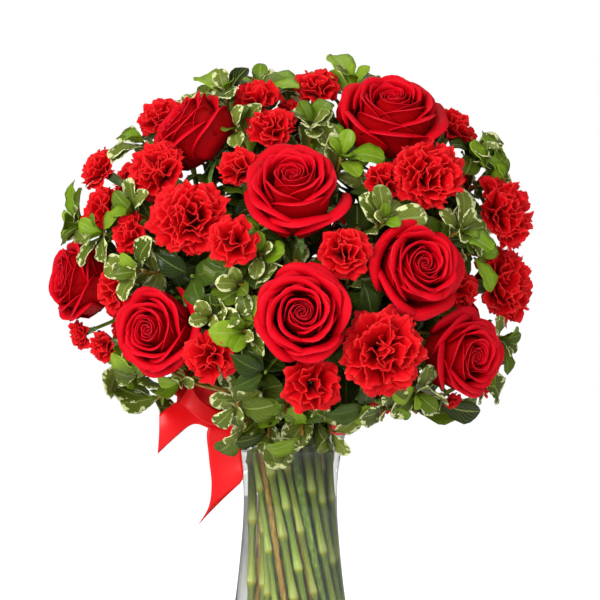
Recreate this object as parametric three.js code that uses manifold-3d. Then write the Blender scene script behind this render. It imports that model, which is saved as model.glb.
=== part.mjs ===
/*
 * Roses and carnations in a glass vase.
 *
 * Red roses, carnations, sprays of small carnations and sprigs of variegated leaves stand in a waisted
 * vase of water, with a satin ribbon tied round its neck. The stems are set as a florist's spiral: each
 * one leans the same way round, is nearest to the middle at the vase's waist, and fans out over the rim
 * to its own place in a low dome.
 *
 * Millimetres, +Z up. The origin is the middle of the vase's underside, and the bouquet faces -Y.
 */
import * as THREE from 'three';
import { mergeVertices } from 'three/addons/utils/BufferGeometryUtils.js';
import Module from 'manifold-3d';

const wasm = await Module();
wasm.setup();
const { Manifold, Mesh: SolidMesh } = wasm;

// Driving dimensions: the vase.
const VASE_HEIGHT = 212;
const VASE_WALL = 3;
const VASE_FLOOR = 9;
const WAIST_HEIGHT = 144;
const VASE_OUTLINE = [[44, 0], [48.5, 3], [50, 11], [49.4, 26], [44, 66], [39.6, 104], [37.6, 132],
  [37.5, 150], [39.2, 174], [42.4, 190], [46.3, 203], [50, VASE_HEIGHT - 1]];
const VASE_SIDES = 24;
const WALL_STEPS = 10;
const WATER_LEVEL = 188;

// Driving dimensions: the spiral of stems.
const CLEARANCE = 0.35;
const NECK_HEIGHT = 192;
const BUNDLE_RADIUS = 28;
const DOME_RADIUS = 190;
const DOME_CENTRE = 140;
const LEAN = 1.1 / WAIST_HEIGHT;
const STEM_SPACE = 0.9;
const STEM_STEP = 48;
const APPROACH = 14;
const STEM_SIDES = 6;
const SHOOT_STEP = 72;
const RIM_CHECKS = 12;

// Driving dimensions: the ribbon.
const RIBBON_THICKNESS = 1;
const RIBBON_BAND = [197, 208];
const BOW_TURN = -58;
const BOW_HEIGHT = 206;
const KNOT = new THREE.Vector3(7, 4.5, 8);
const LOOP_WIDTH = 22;
const LOOP_LINE = [[0, 0], [14, 7], [30, 11], [46, 10], [54, 0]];
const LOOP_SET = { turn: 186, tip: 32, roll: -42 };
// The two edges of each tail, from the knot to its slanting cut, measured from the middle of the knot.
const SHORT_TAIL = [
  [[-2, 0, 8], [-24, -1, 16], [-43, -3, 18], [-52, -5, 13], [-59, -7, 8]],
  [[-2, 0, -8], [-18, -3, -4], [-32, -5, 0], [-46, -8, -10], [-60, -10, -23]],
];
const LONG_TAIL = [
  [[-9, 0, 5], [-21, -4, -4], [-20, -6, -26], [-18, -6, -47], [-20, -4, -64], [-28, -1, -79]],
  [[5, -1, 2], [5, -5, -14], [6, -6, -26], [7, -7, -36], [7, -6, -42], [5, -6, -47]],
];

// Each kind of plant: the radius of its stem and of its side shoots, and how far up the shoots leave.
const KINDS = {
  rose: { stem: 3, shoot: 1.3, sides: 3, fork: 0.5, head: 'rose_bloom', side: 'rose_leaf' },
  carnation: { stem: 2.6, head: 'carnation_bloom' },
  spray: { stem: 2.1, shoot: 1.5, sides: 4, fork: 0.4, head: 'small_bloom', side: 'small_bloom' },
  sprig: { stem: 2.3, shoot: 1.3, sides: 3, fork: 0.3, head: 'whorl', side: 'whorl' },
};

// Half outlines of the blooms, from the seat on the stem to the crown: [radius, height] over the width.
const OUTLINES = {
  rose_bloom: [[0, -0.55], [0.06, -0.55], [0.085, -0.49], [0.15, -0.42], [0.3, -0.29], [0.42, -0.13],
    [0.5, 0], [0.44, 0.08], [0.26, 0.15], [0, 0.17]],
  carnation_bloom: [[0, -0.55], [0.07, -0.55], [0.09, -0.22], [0.25, -0.16], [0.45, -0.09], [0.5, 0.02],
    [0.44, 0.14], [0.27, 0.24], [0, 0.28]],
  small_bloom: [[0, -0.55], [0.1, -0.55], [0.12, -0.2], [0.49, -0.03], [0.38, 0.19], [0, 0.28]],
};
const HEAD_SEAT = 0.55;
const HEAD_SIDES = { rose_bloom: 10, carnation_bloom: 10, small_bloom: 8 };
const LEAVES = { whorl: 5, rose_leaf: 5 };
const LEAF_LIFT = 0.22;
const NOTCH = 0.42;

// The leaves lower down each rose's stem, as turned and raised from its flower, at a share of its reach.
const LOWER_LEAVES = [
  { turn: 22, rise: 6, reach: 0.64 },
  { turn: -20, rise: 5, reach: 0.74 },
];
const LOWER_LEAF_LENGTH = 36;
const LOWER_LEAF_DROOP = 22;

/*
 * Where every head stands. turn is the direction round the vase from the front, rise the angle above the
 * horizontal and reach the distance, all from the middle of the dome. The face's own turn and rise
 * follow, and the width across the petals, or the length of a leaf.
 */
const head = (turn, rise, reach, faceTurn, faceRise, width) => (
  { turn, rise, reach, faceTurn, faceRise, width }
);

const PLANTS = [
  ['rose_1', 'rose', head(-52, 71, 315, -70, 38, 78), head(-38, 62, 250, -50, 10, 34)],
  ['rose_2', 'rose', head(1, 61, 287, -4, 40, 86), head(-8, 66, 262, -20, 30, 34)],
  ['rose_3', 'rose', head(47, 71, 329, 8, 52, 92), head(40, 62, 268, 30, 25, 34)],
  ['rose_4', 'rose', head(35, 48, 255, 24, 12, 79), head(24, 44, 212, 20, 0, 34)],
  ['rose_5', 'rose', head(3, 41, 234, 0, 8, 82), head(-7, 36, 186, -10, -15, 36)],
  ['rose_6', 'rose', head(55, 36, 206, 42, -6, 78), head(26, 32, 156, 12, -30, 34)],
  ['rose_7', 'rose', head(-41, 42, 211, -30, 2, 78), head(-29, 50, 238, -25, 5, 36)],
  ['rose_8', 'rose', head(-77, 46, 251, -66, 8, 76), head(-66, 40, 198, -60, -5, 34)],
  ['rose_9', 'rose', head(128, 40, 218, 128, 10, 84), head(138, 50, 205, 138, 12, 36)],
  ['rose_10', 'rose', head(180, 41, 214, 180, 12, 84), head(-166, 46, 205, -166, 12, 36)],
  ['rose_11', 'rose', head(176, 63, 268, 176, 42, 86), head(-162, 60, 232, -162, 30, 36)],
  ['carnation_1', 'carnation', head(-30, 56, 273, -16, 16, 68)],
  ['carnation_2', 'carnation', head(45, 60, 301, 24, 28, 68)],
  ['carnation_3', 'carnation', head(24, 36, 213, 12, -2, 73)],
  ['carnation_4', 'carnation', head(74, 53, 291, 56, 18, 67)],
  ['carnation_5', 'carnation', head(75, 45, 247, 56, 0, 68)],
  ['carnation_6', 'carnation', head(-50, 63, 296, -36, 20, 56)],
  ['carnation_7', 'carnation', head(96, 48, 244, 96, 14, 68)],
  ['carnation_8', 'carnation', head(-127, 44, 226, -127, 12, 70)],
  ['spray_1', 'spray', head(46, 85, 334, 4, 44, 42), head(-30, 81, 328, -14, 50, 41),
    head(-10, 74, 309, -10, 38, 44), head(1, 85, 316, 6, 60, 27)],
  ['spray_2', 'spray', head(-80, 71, 328, -50, 44, 42), head(-76, 60, 309, -58, 30, 43),
    head(-108, 63, 296, -108, 42, 44)],
  ['spray_3', 'spray', head(-70, 56, 282, -54, 16, 44), head(-52, 54, 265, -44, 8, 37),
    head(-59, 47, 234, -48, 2, 38), head(-80, 39, 217, -60, -20, 27), head(-68, 39, 202, -48, -18, 31)],
  ['spray_4', 'spray', head(-19, 66, 290, -12, 32, 40), head(-15, 52, 264, -10, 6, 44),
    head(15, 51, 256, 8, 4, 45), head(32, 62, 289, 10, 24, 37)],
  ['spray_5', 'spray', head(77, 66, 328, 44, 36, 42), head(57, 47, 234, 50, -4, 34),
    head(58, 30, 172, 34, -34, 16)],
  ['spray_6', 'spray', head(6, 32, 189, 4, -8, 50), head(-22, 37, 201, -18, -4, 46)],
  ['spray_7', 'spray', head(132, 62, 278, 132, 34, 48), head(94, 63, 296, 94, 34, 46),
    head(154, 44, 218, 154, 10, 48), head(172, 79, 306, 172, 66, 48)],
  ['spray_8', 'spray', head(-148, 61, 268, -148, 34, 48), head(-121, 61, 280, -121, 32, 46),
    head(-132, 77, 308, -132, 60, 48), head(-98, 45, 242, -98, 10, 48)],
  ['spray_9', 'spray', head(150, 30, 170, 150, -14, 46), head(104, 33, 190, 104, -10, 46),
    head(-178, 30, 168, -178, -14, 46), head(-146, 32, 174, -146, -14, 46)],
  ['sprig_1', 'sprig', head(-46, 84, 333, -5, 65, 30), head(-54, 79, 331, -25, 60, 34),
    head(-28, 73, 309, -25, 35, 32), head(-82, 77, 319, -40, 55, 30), head(68, 81, 336, 10, 65, 34),
    head(12, 75, 308, 5, 50, 30), head(22, 69, 293, 10, 40, 32), head(142, 87, 328, 0, 70, 32)],
  ['sprig_2', 'sprig', head(76, 62, 316, 45, 45, 32), head(76, 58, 305, 60, 25, 32),
    head(53, 53, 271, 45, 20, 30), head(96, 68, 320, 60, 50, 30)],
  ['sprig_3', 'sprig', head(-62, 66, 314, -50, 45, 30), head(-53, 57, 276, -50, 20, 30),
    head(-63, 53, 270, -60, 15, 30), head(-79, 53, 280, -70, 10, 32), head(-47, 50, 243, -45, 5, 32)],
  ['sprig_4', 'sprig', head(2, 54, 247, 0, 20, 32), head(-9, 55, 243, -10, 20, 32),
    head(-14, 49, 233, -15, 5, 30), head(-22, 44, 217, -20, 0, 36), head(-13, 43, 206, -12, -5, 30)],
  ['sprig_5', 'sprig', head(21, 56, 270, 10, 20, 36), head(28, 56, 270, 15, 15, 30),
    head(61, 51, 257, 50, 5, 30), head(73, 38, 217, 60, -10, 32)],
  ['sprig_6', 'sprig', head(-20, 35, 146, -20, -25, 34), head(-22, 34, 114, -20, -45, 34),
    head(-12, 35, 100, -8, -50, 30), head(-41, 38, 162, -35, -20, 22), head(-58, 37, 174, -50, -20, 26)],
  ['sprig_7', 'sprig', head(37, 33, 148, 20, -35, 34), head(-2, 34, 136, -4, -35, 34),
    head(6, 33, 110, 2, -45, 34), head(19, 33, 113, 10, -45, 32), head(44, 34, 168, 30, -25, 32),
    head(59, 31, 160, 40, -35, 28)],
  ['sprig_8', 'sprig', head(112, 71, 304, 112, 52, 44), head(112, 56, 266, 112, 24, 42),
    head(148, 52, 238, 148, 20, 42), head(86, 36, 186, 86, -20, 40), head(128, 28, 150, 128, -34, 42),
    head(84, 56, 280, 84, 30, 36)],
  ['sprig_9', 'sprig', head(-158, 74, 300, -158, 56, 46), head(158, 53, 236, 158, 22, 44),
    head(-176, 52, 234, -176, 22, 44), head(154, 74, 296, 154, 56, 44), head(168, 28, 150, 168, -34, 42)],
  ['sprig_10', 'sprig', head(-112, 74, 308, -112, 52, 44), head(-108, 54, 246, -108, 18, 42),
    head(-153, 47, 224, -153, 20, 44), head(-118, 38, 190, -118, -4, 38),
    head(-124, 31, 158, -124, -28, 42), head(-158, 28, 150, -158, -34, 42)],
];

const COLOURS = {
  glass: { color: 0xe6efec, roughness: 0.05, metalness: 0 },
  water: { color: 0xd4e4e2, roughness: 0.02, metalness: 0 },
  satin: { color: 0xd9101c, roughness: 0.35, metalness: 0 },
  rosePetal: { color: 0xa80c1a, roughness: 0.75, metalness: 0 },
  carnationPetal: { color: 0xd8202a, roughness: 0.8, metalness: 0 },
  roseStem: { color: 0x4f7a35, roughness: 0.55, metalness: 0 },
  carnationStem: { color: 0x8fb07a, roughness: 0.6, metalness: 0 },
  leaf: { color: 0x7f9a4a, roughness: 0.55, metalness: 0 },
};

const UP = new THREE.Vector3(0, 0, 1);

/** The unit vector that points round to turn degrees from the front and rise degrees above level. */
function direction(turn, rise) {
  const around = THREE.MathUtils.degToRad(turn);
  const above = THREE.MathUtils.degToRad(rise);
  return new THREE.Vector3(
    Math.sin(around) * Math.cos(above),
    -Math.cos(around) * Math.cos(above),
    Math.sin(above),
  );
}

// ---- Solids ----

/**
 * A closed geometry as a solid: shared corners merged, then set in its place, flat slivers dropped and
 * faces turned outward.
 */
function solidOf(geometry, placement = new THREE.Matrix4()) {
  const bare = geometry.index ? geometry.toNonIndexed() : geometry.clone();
  bare.deleteAttribute('normal');
  bare.deleteAttribute('uv');
  const welded = mergeVertices(bare, 1e-4).applyMatrix4(placement);
  const places = welded.attributes.position;
  const corners = welded.index.array;
  const kept = [];
  const [a, b, c] = [new THREE.Vector3(), new THREE.Vector3(), new THREE.Vector3()];
  let volume = 0;
  for (let i = 0; i < corners.length; i += 3) {
    const face = [corners[i], corners[i + 1], corners[i + 2]];
    if (new Set(face).size < 3) continue;
    kept.push(face);
    a.fromBufferAttribute(places, face[0]);
    b.fromBufferAttribute(places, face[1]);
    c.fromBufferAttribute(places, face[2]);
    volume += a.dot(b.cross(c));
  }
  const outward = volume < 0 ? kept.map(([i, j, k]) => [i, k, j]) : kept;
  return new Manifold(new SolidMesh({
    numProp: 3,
    vertProperties: new Float32Array(places.array),
    triVerts: new Uint32Array(outward.flat()),
  }));
}

/** A solid as a named mesh with a material of its own. */
function part(name, solid, finish) {
  const { vertProperties, triVerts } = solid.getMesh();
  const geometry = new THREE.BufferGeometry();
  geometry.setAttribute('position', new THREE.BufferAttribute(vertProperties, 3));
  geometry.setIndex(new THREE.BufferAttribute(triVerts, 1));
  geometry.computeVertexNormals();
  const mesh = new THREE.Mesh(geometry, new THREE.MeshStandardMaterial(COLOURS[finish]));
  mesh.name = name;
  return mesh;
}

/** The largest of the bodies that a cut leaves. */
function largest(solid) {
  return solid.decompose().reduce((best, body) => (body.volume() > best.volume() ? body : best));
}

function boxesMeet(one, other) {
  const [p, q] = [one.boundingBox(), other.boundingBox()];
  return [0, 1, 2].every((k) => p.min[k] < q.max[k] && q.min[k] < p.max[k]);
}

/** What is left of a solid once the others have pushed into it. */
function yieldTo(solid, others) {
  const near = others.filter((other) => boxesMeet(solid, other));
  return near.length ? largest(solid.subtract(Manifold.union(near))) : solid;
}

function turned(outline, sides) {
  const points = outline.map(([radius, height]) => new THREE.Vector2(radius, height));
  return new THREE.LatheGeometry(points, sides).rotateX(Math.PI / 2);
}

// ---- The vase and its water ----

const vaseCurve = new THREE.SplineCurve(VASE_OUTLINE.slice(2).map(([r, z]) => new THREE.Vector2(r, z)));
const vaseWall = vaseCurve.getPoints(WALL_STEPS);

/** The vase's outer radius at a height above its rounded foot. */
function vaseRadius(height) {
  const above = vaseWall.findIndex((point) => point.y > height);
  if (above < 1) return vaseWall.at(above).x;
  const [low, high] = [vaseWall[above - 1], vaseWall[above]];
  return THREE.MathUtils.mapLinear(height, low.y, high.y, low.x, high.x);
}

/** The vase, or with a margin the room that its neighbours leave it. */
function vaseSolid(margin) {
  const foot = VASE_OUTLINE.slice(0, 2).map(([r, z]) => [r + margin, z - margin]);
  const outside = vaseWall.map(({ x, y }) => [x + margin, y]);
  const lip = VASE_OUTLINE.at(-1)[0] - VASE_WALL / 2;
  const inside = vaseWall.filter(({ y }) => y > VASE_FLOOR + 6)
    .map(({ x, y }) => [x - VASE_WALL - margin, y]).reverse();
  const floorEdge = vaseRadius(VASE_FLOOR + 3) - VASE_WALL - margin;
  return solidOf(turned([
    [0, -margin], ...foot, ...outside, [lip, VASE_HEIGHT + margin], ...inside,
    [floorEdge, VASE_FLOOR + 3], [floorEdge - 2, VASE_FLOOR + margin], [0, VASE_FLOOR + margin],
  ], VASE_SIDES));
}

/** The water inside, up to its level, with room for each stem that stands in it. */
function waterSolid(stems) {
  const gap = CLEARANCE;
  const edge = (height) => vaseRadius(height) - VASE_WALL - gap;
  const wet = vaseWall.map(({ y }) => y).filter((y) => y > VASE_FLOOR + 6 && y < WATER_LEVEL);
  const body = solidOf(turned([
    [0, VASE_FLOOR + gap], [edge(VASE_FLOOR + 3) - 2, VASE_FLOOR + gap],
    [edge(VASE_FLOOR + 3), VASE_FLOOR + 3], ...wet.map((y) => [edge(y), y]),
    [edge(WATER_LEVEL), WATER_LEVEL], [0, WATER_LEVEL],
  ], VASE_SIDES));
  return largest(body.subtract(Manifold.union(stems)));
}

// ---- Stems: where they run ----

/** Where a stem that passes the waist at place stands at another height: the spiral's straight line. */
function inSpiral(place, height) {
  const along = LEAN * (height - WAIST_HEIGHT);
  return new THREE.Vector3(place.x + along * place.y, place.y - along * place.x, height);
}

/** Packs the stems in the waist, each as near as it can be to the side where its heads are. */
function packWaist(plants) {
  const along = LEAN * (NECK_HEIGHT - WAIST_HEIGHT);
  const wished = plants.map(({ heads }) => {
    const middle = heads.reduce((sum, { at }) => sum.add(at), new THREE.Vector3());
    const { x, y } = middle.multiplyScalar(BUNDLE_RADIUS / DOME_RADIUS / heads.length);
    return new THREE.Vector2(x - along * y, y + along * x).divideScalar(1 + along * along);
  });
  const places = wished.map((place) => place.clone());
  for (let round = 0; round < 400; round += 1) {
    places.forEach((place, i) => {
      place.lerp(wished[i], round < 300 ? 0.02 : 0);
      for (let j = 0; j < i; j += 1) {
        const apart = place.clone().sub(places[j]);
        const room = plants[i].radius + plants[j].radius + 1.4;
        if (apart.length() < room) {
          apart.setLength((room - apart.length()) / 2);
          place.add(apart);
          places[j].sub(apart);
        }
      }
      place.clampLength(0, BUNDLE_RADIUS);
    });
  }
  return places;
}

/** A run of straight pieces from the start to a head's seat, eased from one heading to the other. */
function easedRun(start, heading, { seat, facing }, step) {
  const end = seat.clone().addScaledVector(facing, -APPROACH);
  const length = start.distanceTo(end);
  const curve = new THREE.CubicBezierCurve3(
    start,
    start.clone().addScaledVector(heading, 0.35 * length),
    end.clone().addScaledVector(facing, -0.4 * length),
    end,
  );
  return [...curve.getPoints(Math.max(2, Math.round(length / step))), seat.clone()];
}

/** The nearest points of two straight pieces, as how far along each they lie. */
function nearest(a, b, c, d) {
  const u = b.clone().sub(a);
  const v = d.clone().sub(c);
  const w = a.clone().sub(c);
  const [uu, uv, vv, uw, vw] = [u.dot(u), u.dot(v), v.dot(v), u.dot(w), v.dot(w)];
  const clamp = (value) => THREE.MathUtils.clamp(value, 0, 1);
  const across = uu * vv - uv * uv;
  let s = across > 1e-6 ? clamp((uv * vw - vv * uw) / across) : 0;
  const t = clamp((uv * s + vw) / vv);
  s = clamp((uv * t - uw) / uu);
  return [s, t];
}

/** The place that lies so many pieces along a run, a part of a piece counting as such. */
function pointOn(points, pieces) {
  const i = Math.min(Math.floor(pieces), points.length - 2);
  return points[i].clone().lerp(points[i + 1], pieces - i);
}

/** Moves the point that lies part of the way along a piece, by moving the piece's free ends. */
function shift(run, i, part, by) {
  const share = 1 / ((1 - part) ** 2 + part ** 2);
  if (run.free(i)) run.points[i].addScaledVector(by, (1 - part) * share);
  if (run.free(i + 1)) run.points[i + 1].addScaledVector(by, part * share);
}

/** Pushes two runs apart where they come nearer than their radii and the room between them. */
function keepApart(one, other) {
  const room = one.radius + other.radius + STEM_SPACE;
  const [from, to] = [new THREE.Vector3(), new THREE.Vector3()];
  for (let i = 0; i < one.points.length - 1; i += 1) {
    const [a, b] = [one.points[i], one.points[i + 1]];
    for (let j = 0; j < other.points.length - 1; j += 1) {
      const [c, d] = [other.points[j], other.points[j + 1]];
      const reach = a.distanceTo(b) + c.distanceTo(d);
      if (a.distanceTo(c) > reach + room) continue;
      const [s, t] = nearest(a, b, c, d);
      from.lerpVectors(a, b, s);
      to.lerpVectors(c, d, t);
      const gap = from.distanceTo(to);
      if (gap < room) {
        const push = from.sub(to).setLength((room - gap) / 2 + 0.02);
        shift(one, i, s, push);
        shift(other, j, t, push.negate());
      }
    }
  }
}

/** Pushes a run off a round obstacle. */
function keepOff(run, centre, radius) {
  const room = radius + run.radius + STEM_SPACE;
  const line = new THREE.Line3();
  const spot = new THREE.Vector3();
  for (let i = 0; i < run.points.length - 1; i += 1) {
    line.set(run.points[i], run.points[i + 1]);
    const along = line.closestPointToPointParameter(centre, true);
    line.at(along, spot);
    const gap = spot.distanceTo(centre);
    if (gap < room) shift(run, i, along, spot.sub(centre).setLength((room - gap) * 0.7));
  }
}

/** Keeps a run inside the glass below the rim, and off the rim where it leans over it. */
function keepInVase(run) {
  const rim = VASE_OUTLINE.at(-1)[0] - VASE_WALL / 2;
  const room = run.radius + VASE_WALL + STEM_SPACE;
  const spot = new THREE.Vector3();
  for (let i = 0; i < run.points.length - 1; i += 1) {
    for (let step = 0; step <= RIM_CHECKS; step += 1) {
      spot.lerpVectors(run.points[i], run.points[i + 1], step / RIM_CHECKS);
      const out = Math.hypot(spot.x, spot.y);
      const offRim = new THREE.Vector2(out - rim, spot.z - VASE_HEIGHT + 1);
      if (offRim.length() < room) {
        offRim.setLength((room - offRim.length()) * 0.6);
        const push = new THREE.Vector3(spot.x / out * offRim.x, spot.y / out * offRim.x, offRim.y);
        shift(run, i, step / RIM_CHECKS, push);
      }
    }
  }
}

// ---- Heads: what each stem carries ----

/** A bloom turned from its outline, looking along +Z, with its widest round at the origin. */
function bloomGeometry(kind, width) {
  return turned(OUTLINES[kind].map(([r, z]) => [r * width, z * width]), HEAD_SIDES[kind]);
}

/** Leaves spread from one point like a star: the tips lift above the notches between them. */
function leafStar(kind, length) {
  const star = turned([[0, -1.6], [length, LEAF_LIFT * length], [0, 1.4]], 2 * LEAVES[kind]);
  const places = star.attributes.position;
  for (let i = 0; i < places.count; i += 1) {
    const notch = Math.round(Math.atan2(places.getX(i), -places.getY(i)) / Math.PI * LEAVES[kind]) % 2;
    const out = Math.hypot(places.getX(i), places.getY(i));
    if (notch && out > 1) {
      places.setXYZ(i, places.getX(i) * NOTCH, places.getY(i) * NOTCH, places.getZ(i) * NOTCH);
    }
  }
  return star;
}

function headSolid({ kind, at, facing, width }, margin) {
  const swell = 1 + 2 * margin / width;
  const geometry = kind in LEAVES
    ? leafStar(kind, width)
    : bloomGeometry(kind, width).scale(swell, swell, swell);
  const aim = new THREE.Quaternion().setFromUnitVectors(UP, facing);
  return solidOf(geometry, new THREE.Matrix4().compose(at, aim, new THREE.Vector3(1, 1, 1)));
}

/** The points that a run must keep away from so as not to pierce a bloom. */
function bloomCores({ kind, at, facing, width }) {
  if (kind in LEAVES) return [];
  const core = (height, radius) => [at.clone().addScaledVector(facing, height * width), radius * width];
  return kind === 'rose_bloom'
    ? [core(-0.42, 0.14), core(-0.22, 0.3), core(-0.03, 0.4)]
    : [core(-0.4, 0.08), core(-0.25, 0.1), core(0.03, 0.38)];
}

// ---- Growing the plants ----

/** The heads of a row, with a rose's lower leaves put in between its flower and its upper leaf. */
function allPlaces(kind, [flower, ...others]) {
  const lower = LOWER_LEAVES.map(({ turn, rise, reach }) => head(
    flower.turn + turn,
    flower.rise + rise,
    flower.reach * reach,
    flower.turn,
    flower.rise - LOWER_LEAF_DROOP,
    LOWER_LEAF_LENGTH,
  ));
  return kind === 'rose' ? [flower, ...lower, ...others] : [flower, ...others];
}

const plants = PLANTS.map(([name, kind, ...row]) => ({
  name,
  kind,
  radius: KINDS[kind].stem,
  heads: allPlaces(kind, row).map((place, i) => {
    const facing = direction(place.faceTurn, place.faceRise);
    const at = direction(place.turn, place.rise).multiplyScalar(place.reach);
    at.z += DOME_CENTRE;
    const headKind = i ? KINDS[kind].side : KINDS[kind].head;
    const seat = at.clone().addScaledVector(facing, headKind in LEAVES ? -0.2 : -HEAD_SEAT * place.width);
    return { kind: headKind, at, facing, width: place.width, seat };
  }),
}));

const runs = [];

packWaist(plants).forEach((place, i) => {
  const plant = plants[i];
  const heading = inSpiral(place, NECK_HEIGHT).sub(inSpiral(place, WAIST_HEIGHT)).normalize();
  const footHeight = VASE_FLOOR + CLEARANCE + plant.radius * Math.hypot(heading.x, heading.y);
  const [leader, ...others] = plant.heads;
  const neck = inSpiral(place, NECK_HEIGHT);
  const points = [inSpiral(place, footHeight), ...easedRun(neck, heading, leader, STEM_STEP)];
  const last = points.length - 2;
  const main = { plant, head: leader, radius: plant.radius, points, free: (k) => k > 1 && k < last };
  runs.push(main);
  plant.main = main;
  plant.shoots = others.map((side, k) => {
    const leaves = 1 + last * THREE.MathUtils.lerp(KINDS[plant.kind].fork, 0.85, k / others.length);
    const start = pointOn(points, leaves);
    const away = side.seat.clone().sub(start).normalize();
    const path = easedRun(start, away, side, SHOOT_STEP);
    const end = path.length - 2;
    const run = { plant, head: side, radius: KINDS[plant.kind].shoot, points: path, leaves };
    run.free = (k) => k > 0 && k < end;
    runs.push(run);
    return run;
  });
});

const cores = plants.flatMap(({ heads }) => heads).map((one) => [one, bloomCores(one)]);
for (let round = 0; round < 260; round += 1) {
  const ease = round < 200 ? 0.12 : 0;
  for (const run of runs) {
    if (run.leaves) run.points[0].copy(pointOn(run.plant.main.points, run.leaves));
    for (let k = 1; k < run.points.length - 1; k += 1) {
      const middle = run.points[k - 1].clone().lerp(run.points[k + 1], 0.5);
      if (run.free(k)) run.points[k].lerp(middle, ease);
    }
    for (const [owner, spheres] of cores) {
      if (owner !== run.head) spheres.forEach(([centre, radius]) => keepOff(run, centre, radius));
    }
    keepInVase(run);
  }
  runs.forEach((run, i) => {
    for (const other of runs.slice(0, i)) {
      if (other.plant !== run.plant) keepApart(run, other);
    }
  });
}

/** A run of straight pieces as a curve that an extrusion can follow corner by corner. */
class Route extends THREE.Curve {
  constructor(points) {
    super();
    this.points = points;
  }

  getPoint(t, target = new THREE.Vector3()) {
    const along = t * (this.points.length - 1);
    const i = Math.min(Math.floor(along), this.points.length - 2);
    return target.lerpVectors(this.points[i], this.points[i + 1], along - i);
  }

  getUtoTmapping(u) {
    return u;
  }
}

function tube(points, radius, sides) {
  const corner = (k) => (2 * Math.PI * k) / sides;
  const section = new THREE.Shape(Array.from({ length: sides }, (_, k) => (
    new THREE.Vector2(radius * Math.cos(corner(k)), radius * Math.sin(corner(k)))
  )));
  return solidOf(new THREE.ExtrudeGeometry(section, {
    steps: points.length - 1,
    bevelEnabled: false,
    extrudePath: new Route(points),
  }));
}

/** Whether a plant's first bloom is a piece of its own, apart from its stem. */
const bloomApart = ({ kind }) => kind === 'rose' || kind === 'carnation';

/** A run's tube; a stem whose bloom is a separate piece stops just short of the bloom's seat. */
function runTube(run, margin) {
  const main = run === run.plant.main;
  const points = run.points.map((point) => point.clone());
  points.at(-1).addScaledVector(run.head.facing, main && bloomApart(run.plant) ? -CLEARANCE : 0.6);
  return tube(points, run.radius + margin, main ? STEM_SIDES : KINDS[run.plant.kind].sides);
}

// ---- The ribbon ----

/** A thin strip that follows a line from +X, standing ribbon-wide along Z. */
function strip(line, thickness, width) {
  const front = [];
  const back = [];
  line.forEach((point, i) => {
    const before = line[Math.max(0, i - 1)];
    const after = line[Math.min(line.length - 1, i + 1)];
    const side = after.clone().sub(before).normalize().rotateAround(new THREE.Vector2(), Math.PI / 2);
    front.push(point.clone().addScaledVector(side, thickness / 2));
    back.unshift(point.clone().addScaledVector(side, -thickness / 2));
  });
  return new THREE.ExtrudeGeometry(new THREE.Shape([...front, ...back]), {
    depth: width,
    bevelEnabled: false,
  }).translate(0, 0, -width / 2);
}

/** A thin strip between two edges that hang side by side, flat from one pair of places to the next. */
function draped(edges, margin) {
  const [one, other] = edges.map((edge) => edge.map((place) => new THREE.Vector3(...place)));
  const last = one.length - 1;
  const strand = new THREE.BoxGeometry(1, 1, 1, last, 1, 1);
  const places = strand.attributes.position;
  for (let i = 0; i < places.count; i += 1) {
    const k = Math.round((places.getX(i) + 0.5) * last);
    const across = other[k].clone().sub(one[k]).normalize();
    const along = one[Math.min(k + 1, last)].clone().sub(one[Math.max(k - 1, 0)]).normalize();
    const off = across.clone().cross(along).normalize();
    const beyond = (k === last) - (k === 0);
    const place = (places.getZ(i) < 0 ? one : other)[k].clone()
      .addScaledVector(across, Math.sign(places.getZ(i)) * margin)
      .addScaledVector(along, beyond * margin)
      .addScaledVector(off, places.getY(i) * (RIBBON_THICKNESS + 2 * margin));
    places.setXYZ(i, place.x, place.y, place.z);
  }
  return strand;
}

/** Ribbon round the neck, a knot, a loop to the left and two cut tails. */
function ribbonSolid(margin) {
  const thick = RIBBON_THICKNESS + 2 * margin;
  const round = (off) => RIBBON_BAND.map((z) => [vaseRadius(z) + CLEARANCE + off, z]);
  const band = solidOf(turned([
    ...round(-margin), ...round(RIBBON_THICKNESS + margin).reverse(), round(-margin)[0],
  ], VASE_SIDES));
  const knotAt = direction(BOW_TURN, 0).multiplyScalar(vaseRadius(BOW_HEIGHT) + KNOT.y).setZ(BOW_HEIGHT);
  const there = (geometry) => solidOf(geometry.translate(knotAt.x, knotAt.y, knotAt.z));
  const knot = there(new THREE.SphereGeometry(1, 8, 5)
    .scale(KNOT.x + margin, KNOT.y + margin, KNOT.z + margin)
    .rotateZ(THREE.MathUtils.degToRad(BOW_TURN)));
  const over = new THREE.SplineCurve(LOOP_LINE.map(([x, y]) => new THREE.Vector2(x, y))).getPoints(5);
  const under = over.map(({ x, y }) => new THREE.Vector2(x, -y)).reverse();
  const loop = there(strip([...over, ...under.slice(1)], thick, LOOP_WIDTH + 2 * margin)
    .rotateX(THREE.MathUtils.degToRad(LOOP_SET.roll))
    .rotateY(THREE.MathUtils.degToRad(-LOOP_SET.tip))
    .rotateZ(THREE.MathUtils.degToRad(LOOP_SET.turn)));
  const tails = [SHORT_TAIL, LONG_TAIL].map((edges) => there(draped(edges, margin)));
  return Manifold.union([band, knot, loop, ...tails]);
}

// ---- The whole arrangement ----

const vase = vaseSolid(0);
const wideVase = vaseSolid(CLEARANCE);
const tubes = new Map(runs.map((run) => [run, runTube(run, 0)]));
const wideTubes = new Map(runs.map((run) => [run, runTube(run, CLEARANCE)]));
const stemsInWater = plants
  .map(({ main }) => tube(main.points.slice(0, 2), main.radius + CLEARANCE, STEM_SIDES));
const water = waterSolid(stemsInWater);
const ribbon = yieldTo(ribbonSolid(0), [wideVase, ...wideTubes.values()]);
const wideRibbon = ribbonSolid(CLEARANCE);

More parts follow.
